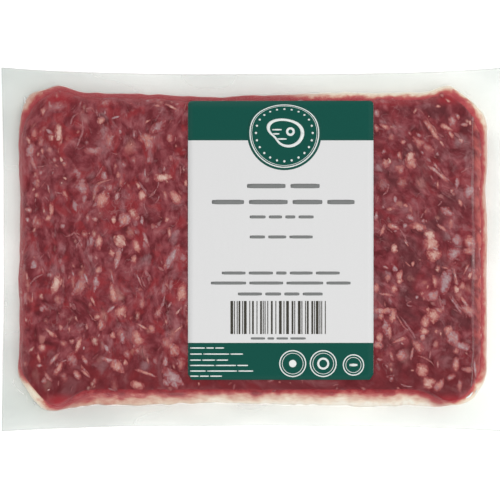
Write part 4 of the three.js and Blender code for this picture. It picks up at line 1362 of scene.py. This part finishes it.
def label_rows(low, high, rows, columns, inset=0.0):
    """A grid across the label between two heights, as wide as its rounded corners allow."""
    crowded = 1 - (1 - np.linspace(0, 1, rows + 1)) ** CROWDING
    y = mix(low, high, crowded)[:, None]
    into_corner = np.maximum(LABEL_CORNER - np.minimum(y - label_front, label_back - y), 0)
    corner = LABEL_CORNER - np.sqrt(np.maximum(LABEL_CORNER ** 2 - into_corner ** 2, 0))
    across = np.linspace(0, 1, columns + 1)[None]
    x = mix(label_left + corner + inset, label_right - corner - inset, across)
    return x, y + 0 * x


def sheet_piece(name, grids, lift, thickness, material):
    """One piece from several grids of (x, y) on the label, lift above the paper's top face,
    given a little thickness."""
    points, faces, start = [], [], 0
    for x, y in grids:
        points.append(at_level(x, y, film_height_under_label(x, y) + PAPER_LIFT + lift).reshape(-1, 3))
        faces.append(grid_faces(x.shape[0] - 1, x.shape[1] - 1, start))
        start += x.size
    piece = make_piece(name, np.concatenate(points), faces, material)
    solid = piece.modifiers.new("thickness", "SOLIDIFY")
    solid.thickness = thickness * MM
    solid.offset = -1
    return piece


print("label", round(label_right - label_left, 1), "x", round(label_back - label_front, 1), "mm")

# %% [markdown]
# Coated paper is smooth and a little off white, with a satin shine, and it cockles slightly
# where it is stuck to soft film. Flexo ink is flatter and shows a faint mottle.

# %% Paper and ink
MOTTLE_SIZE = 0.5
COCKLE_SIZE, COCKLE_DEPTH = (7.0, 30.0), 0.5


def print_material(name, hex_colour, mottle_share, roughness):
    """Matt colour with a faint mottle and the slow cockle of stuck paper."""
    material, tree = new_material(name)
    place = put(tree, "TexCoord").outputs["Object"]
    mottle = put(tree, "TexNoise", {"Vector": place, "Scale": 1 / (MOTTLE_SIZE * MM), "Detail": 3.0})
    shade = put(tree, "MapRange", (mottle, 0.3, 0.7, 1 - mottle_share, 1 + mottle_share))
    colour = put(tree, "HueSaturation", {"Color": linear(hex_colour), "Value": shade})
    scale = [1 / (size * MM) for size in COCKLE_SIZE] + [1.0]
    stretched = put(tree, "Mapping", {"Vector": place, "Scale": scale})
    cockle = put(tree, "TexNoise", {"Vector": stretched, "Scale": 1.0, "Detail": 2.0})
    bump = put(tree, "Bump", {"Height": cockle, "Strength": 0.3, "Distance": COCKLE_DEPTH * MM})
    surface = put(tree, "BsdfPrincipled", {"Base Color": colour, "Roughness": roughness,
                                           "Specular IOR Level": 0.15, "Normal": bump})
    put(tree, "OutputMaterial", (surface,))
    return material


paper = print_material("white coated label paper", "#d9d9d9", 0.012, 0.5)
green_ink = print_material("bottle green flexo ink", "#134e44", 0.06, 0.45)
white_ink = print_material("white unprinted lines in the green", "#e2e6e4", 0.02, 0.5)
grey_ink = print_material("grey ink for words", "#7b7d7c", 0.04, 0.55)
black_ink = print_material("near-black ink for bars", "#403e37", 0.04, 0.55)
whole_label = label_rows(label_front, label_back, 60, 30)
label = sheet_piece("label_paper", [whole_label], 0.0, PAPER_THICKNESS, paper)

# %% [markdown]
# The print is measured on the label itself: millimetres from its left edge and down from its
# top edge. A filled shape is the same stretched square as the pack, with corners as round as
# wanted, so a bar, a dot and a disc are one function.

# %% Print shapes
BADGE_PLACE, BADGE_RADIUS = (41.4, 13.9), 16.0
TOP_BAND, BOTTOM_BAND = 17.1, 104.1
PRINT_INSET = 0.02
INK = 0.02
BAND_LIFT, WORD_LIFT, WHITE_LIFT = 0.03, 0.05, 0.08  # where two inks meet, one lies on the other
FORESHORTENING = 0.185


def from_label_corner(right, down):
    """x and y of a place given from the label's top left corner."""
    return label_left + right, label_back - down


def filled(centre, width, height, radius, columns=2, rows=2):
    """Grid of a filled bar, dot or disc about a centre given from the label's corner."""
    shape = outline((-width / 2, width / 2), (-height / 2, height / 2), radius)
    x, y = place_in(shape, *square_grid(rows, columns))
    middle = from_label_corner(*centre)
    return middle[0] + x, middle[1] + y


def ring(centre, outer, inner, steps=72):
    """Grid of a ring between two radii."""
    angle = np.linspace(0, 2 * math.pi, steps + 1)[None]
    radius = np.array([[outer], [inner]])
    middle = from_label_corner(*centre)
    return middle[0] + radius * np.cos(angle), middle[1] + radius * np.sin(angle)


def foreshortened(grid):
    """Badge shapes drawn in above the badge's middle, where the label bends away."""
    x, y = grid
    rise = y - from_label_corner(*BADGE_PLACE)[1]
    return x, y - FORESHORTENING * rise * smoothstep(rise, 0.0, BADGE_RADIUS)


bands = [label_rows(label_back - TOP_BAND, label_back, 24, 30, PRINT_INSET),
         label_rows(label_front, label_back - BOTTOM_BAND, 10, 30, PRINT_INSET)]
disc = foreshortened(filled(BADGE_PLACE, 2 * BADGE_RADIUS, 2 * BADGE_RADIUS, BADGE_RADIUS, 28, 28))
ink_pieces = [sheet_piece("label_green_print", bands, BAND_LIFT, INK, green_ink),
              sheet_piece("label_green_badge", [disc], WORD_LIFT, INK, green_ink)]

# %% [markdown]
# The badge is a ring round a wreath of dots, with a plain cut of meat in the middle: a
# rounded slice with its bone. The small badges below are rings round a dot, a smaller ring
# and a bar.

# %% Badge
DOT_CIRCLE, DOT_SIZE, DOT_EVERY = 12.2, 1.0, 15
SLICE_HALF, RIND = (8.0, 6.0), 0.82
BONE_PLACE, BONE_OUTER, BONE_INNER = (2.6, -0.6), 1.9, 0.9
STREAKS = ((-3.2, -1.4, 4.2), (-3.6, 0.4, 3.0), (-1.2, 2.6, 4.4))  # right, down and length
STREAK_HEIGHT = 0.7


def on_badge(right, down):
    """A place given from the badge's middle."""
    return BADGE_PLACE[0] + right, BADGE_PLACE[1] + down


def slice_rind(half_width, half_height, steps=48):
    """Rind of a slice: a circle whose radius swells on one side and draws in on the other."""
    angle = np.linspace(0, 2 * math.pi, steps + 1)[None]
    radius = 1 + 0.16 * np.cos(angle - 0.7) - 0.14 * np.cos(2 * angle - 1.2) + 0.05 * np.sin(3 * angle)
    radius = radius * np.array([[1.0], [RIND]])
    middle = from_label_corner(*BADGE_PLACE)
    return middle[0] + half_width * radius * np.cos(angle), middle[1] + half_height * radius * np.sin(angle)


badge_prints = [ring(BADGE_PLACE, 15.0, 14.5), ring(BADGE_PLACE, 14.1, 13.9)]
for turn in np.radians(np.arange(0, 360, DOT_EVERY)):
    dot = on_badge(DOT_CIRCLE * math.cos(turn), DOT_CIRCLE * math.sin(turn))
    badge_prints.append(filled(dot, DOT_SIZE, DOT_SIZE, DOT_SIZE / 2))
badge_prints += [slice_rind(*SLICE_HALF), ring(on_badge(*BONE_PLACE), BONE_OUTER, BONE_INNER, steps=24)]
badge_prints += [filled(on_badge(right, down), length, STREAK_HEIGHT, STREAK_HEIGHT / 2)
                 for right, down, length in STREAKS]
badge_prints = [foreshortened(grid) for grid in badge_prints]
print(len(badge_prints), "shapes in the badge")

# %% Rows of bars
WORD_LINES = [(25.3, 56.6, 36.7, 2.7, 2), (10.2, 71.6, 43.6, 2.7, 4), (26.5, 54.0, 50.0, 1.8, 4),
              (26.5, 53.6, 58.6, 1.8, 3), (14.5, 65.2, 74.1, 1.8, 5), (9.8, 69.9, 78.4, 1.8, 4),
              (21.4, 57.9, 83.1, 1.8, 4), (27.0, 50.6, 102.2, 1.3, 4)]  # left, right, down, height, words
FOOT_LEFT, FOOT_HEIGHT, FOOT_WORDS = 0.9, 0.72, 3
FOOT_LINES = [(15.5, 106.3), (23.6, 108.9), (17.2, 111.5), (25.8, 113.8), (28.0, 116.2), (14.6, 118.4)]
WORD_GAP, BAR_SHARE = 0.75, 0.72  # of a line's height
BAR_ROUNDING = 0.3  # of a bar's own height


def word_bars(left, right, down, height, words):
    """Bars in a row, as words stand in a line: seeded lengths that share it, and equal gaps."""
    gap, bar = height * WORD_GAP, height * BAR_SHARE
    lengths = rng.uniform(0.6, 1.6, words)
    lengths = lengths / lengths.sum() * (right - left - gap * (words - 1))
    ends = left + np.cumsum(lengths) + gap * np.arange(words)
    return [filled((end - length / 2, down), length, bar, bar * BAR_ROUNDING, 6, 2)
            for end, length in zip(ends, lengths)]


grey_bars = [bar for line in WORD_LINES for bar in word_bars(*line)]
foot_bars = [bar for right, down in FOOT_LINES
             for bar in word_bars(FOOT_LEFT, right, down, FOOT_HEIGHT, FOOT_WORDS)]
print(len(grey_bars), "bars on the white and", len(foot_bars), "on the green foot")

# %% Small badges and bar code
SMALL_BADGES = [((45.0, 113.0), 5.8), ((58.1, 113.0), 5.8), ((71.1, 113.6), 4.6)]  # place and radius
CODE_LEFT, CODE_RIGHT, CODE_TOP, CODE_FOOT, CODE_EDGES = 17.1, 59.2, 86.1, 100.3, 60

for centre, radius in SMALL_BADGES:
    foot_bars += [ring(centre, radius, radius - 0.5), ring(centre, radius - 1.2, radius - 1.45)]
first, second, third = (centre for centre, _ in SMALL_BADGES)
foot_bars += [filled(first, 3.2, 3.2, 1.6, 8, 8), ring(second, 2.6, 1.7, steps=40),
              filled(third, 3.6, 1.2, 0.6)]

edges = np.cumsum(rng.choice([1, 2, 3], CODE_EDGES, p=[0.45, 0.3, 0.25]))
edges = CODE_LEFT + edges / edges[-1] * (CODE_RIGHT - CODE_LEFT)
code_middle, code_height = (CODE_TOP + CODE_FOOT) / 2, CODE_FOOT - CODE_TOP
code_bars = [filled(((left + right) / 2, code_middle), right - left, code_height, 0.0, 1, 4)
             for left, right in zip(edges[::2], edges[1::2])]

ink_pieces += [sheet_piece("label_white_print", badge_prints + foot_bars, WHITE_LIFT, INK, white_ink),
               sheet_piece("label_grey_words", grey_bars, WORD_LIFT, INK, grey_ink),
               sheet_piece("label_code_bars", code_bars, WORD_LIFT, INK, black_ink)]

# %% [markdown]
# ## Creases and puckers
#
# Where film is pulled round a corner it gathers into small pleats, and a long crease runs
# down the right edge of the flat top. Each is a thin ridge of film laid along a short drawn
# line, and given its width and how milky it is. The milk is matt white and brightest along the
# ridge's top: a painted highlight for the glints the pleats catch and the light line of the crease.

# %% Pleats
# each line: points, width, and how milky; the milk is a painted glint, and on the long right crease a faint
# painted highlight line
PLEAT_LINES = [
    ([(93.9, 57.5), (94.2, 40), (94.0, 20), (94.3, 0), (93.9, -20), (94.1, -45), (93.7, -59)], 1.5, 0.055),
    ([(-99.8, 66.2), (-99.2, 64.8), (-98.9, 63.2)], 1.3, 1.0),
    ([(-100.6, 62.4), (-100.9, 60.2)], 0.5, 0.6),
    ([(-103.8, -55.6), (-104.2, -57.6), (-103.2, -59.6)], 0.9, 0.7),
    ([(-102.8, -60.0), (-101.4, -61.6), (-100.0, -62.8)], 0.7, 0.9),
    ([(-98.9, -62.8), (-98.8, -66.4)], 0.35, 0.6),
    ([(-95.6, -66.2), (-94.6, -66.9), (-93.8, -67.0)], 1.5, 1.0),
    ([(91.6, 69.0), (92.8, 67.2), (94.6, 66.6)], 0.9, 0.9),
    ([(94.4, -61.4), (93.2, -63.0), (91.6, -64.0)], 0.9, 0.9),
    ([(96.4, -60.4), (95.8, -62.2)], 0.5, 0.7),
]
PLEAT_STEPS = 24
PLEAT_TALLNESS, PLEAT_LIFT = 0.06, 0.02
upper_film = np.concatenate([film_top.reshape(-1, 3), rings[:len(turns) + len(reaches)].reshape(-1, 3)])


def film_level(plan):
    """Height of the film at places: the mean of its four nearest points, by nearness."""
    distance = np.linalg.norm(plan[:, None] - upper_film[None, :, :2], axis=-1)
    nearest = np.argsort(distance, axis=1)[:, :4]
    weight = 1 / (np.take_along_axis(distance, nearest, 1) + 0.05)
    return (upper_film[nearest, 2] * weight).sum(1) / weight.sum(1)


path = np.stack([along_line(points, PLEAT_STEPS) for points, _, _ in PLEAT_LINES])
path[..., 0] += 0.35 * noise_over(path, 5.0, 57)
widths = np.array([width for _, width, _ in PLEAT_LINES])[:, None] * (1 + 0.35 * noise_over(path, 2.0, 55))
level = film_level(path.reshape(-1, 2)).reshape(path.shape[:2]) + PLEAT_LIFT
pleat_points, pleat_faces = flat_tubes(path, level, widths, PLEAT_TALLNESS)
# painted highlight: white milk strongest along the top of each ridge, patchy along it
pleat_milk_and_glint = np.array([milk_and_glint for _, _, milk_and_glint in PLEAT_LINES])[:, None, None] * (1 - 0.7 * ring_side)
patchy = 1 + 0.8 * noise_over(path, 9.0, 56)
pleat_milk_and_glint = np.clip(pleat_milk_and_glint * patchy[..., None], 0, 1)

# matt white over clear film, mixed in by the attribute: painted glints, not a reflection
pleat_glint_material, tree = new_material("gathered film with painted glints")
haze, _, _ = channels(tree, "haze")
milk = put(tree, "BsdfDiffuse", {"Color": linear("#f7f8f7")})
clear = put(tree, "BsdfTransparent", {"Color": linear("#ffffff")})
put(tree, "OutputMaterial", (put(tree, "MixShader", (haze, clear, milk)),))
pleats = make_piece("film_pleats", pleat_points, pleat_faces, pleat_glint_material,
                    haze=paint(pleat_milk_and_glint, 1.0, 1.0))

# %% [markdown]
# ## Hand over
#
# Nothing in the pack moves, so every piece rides on the one body, and the CAD solids that
# the pieces stand for are hidden.

# %% Ride and replace
pouch_pieces = [mince, fat, sinew, juice, film, pleats]
label_pieces = [label] + ink_pieces
for piece in pouch_pieces:
    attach(piece, "root")
    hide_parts("pouch")
for piece in label_pieces:
    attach(piece, "root")
    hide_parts("label")
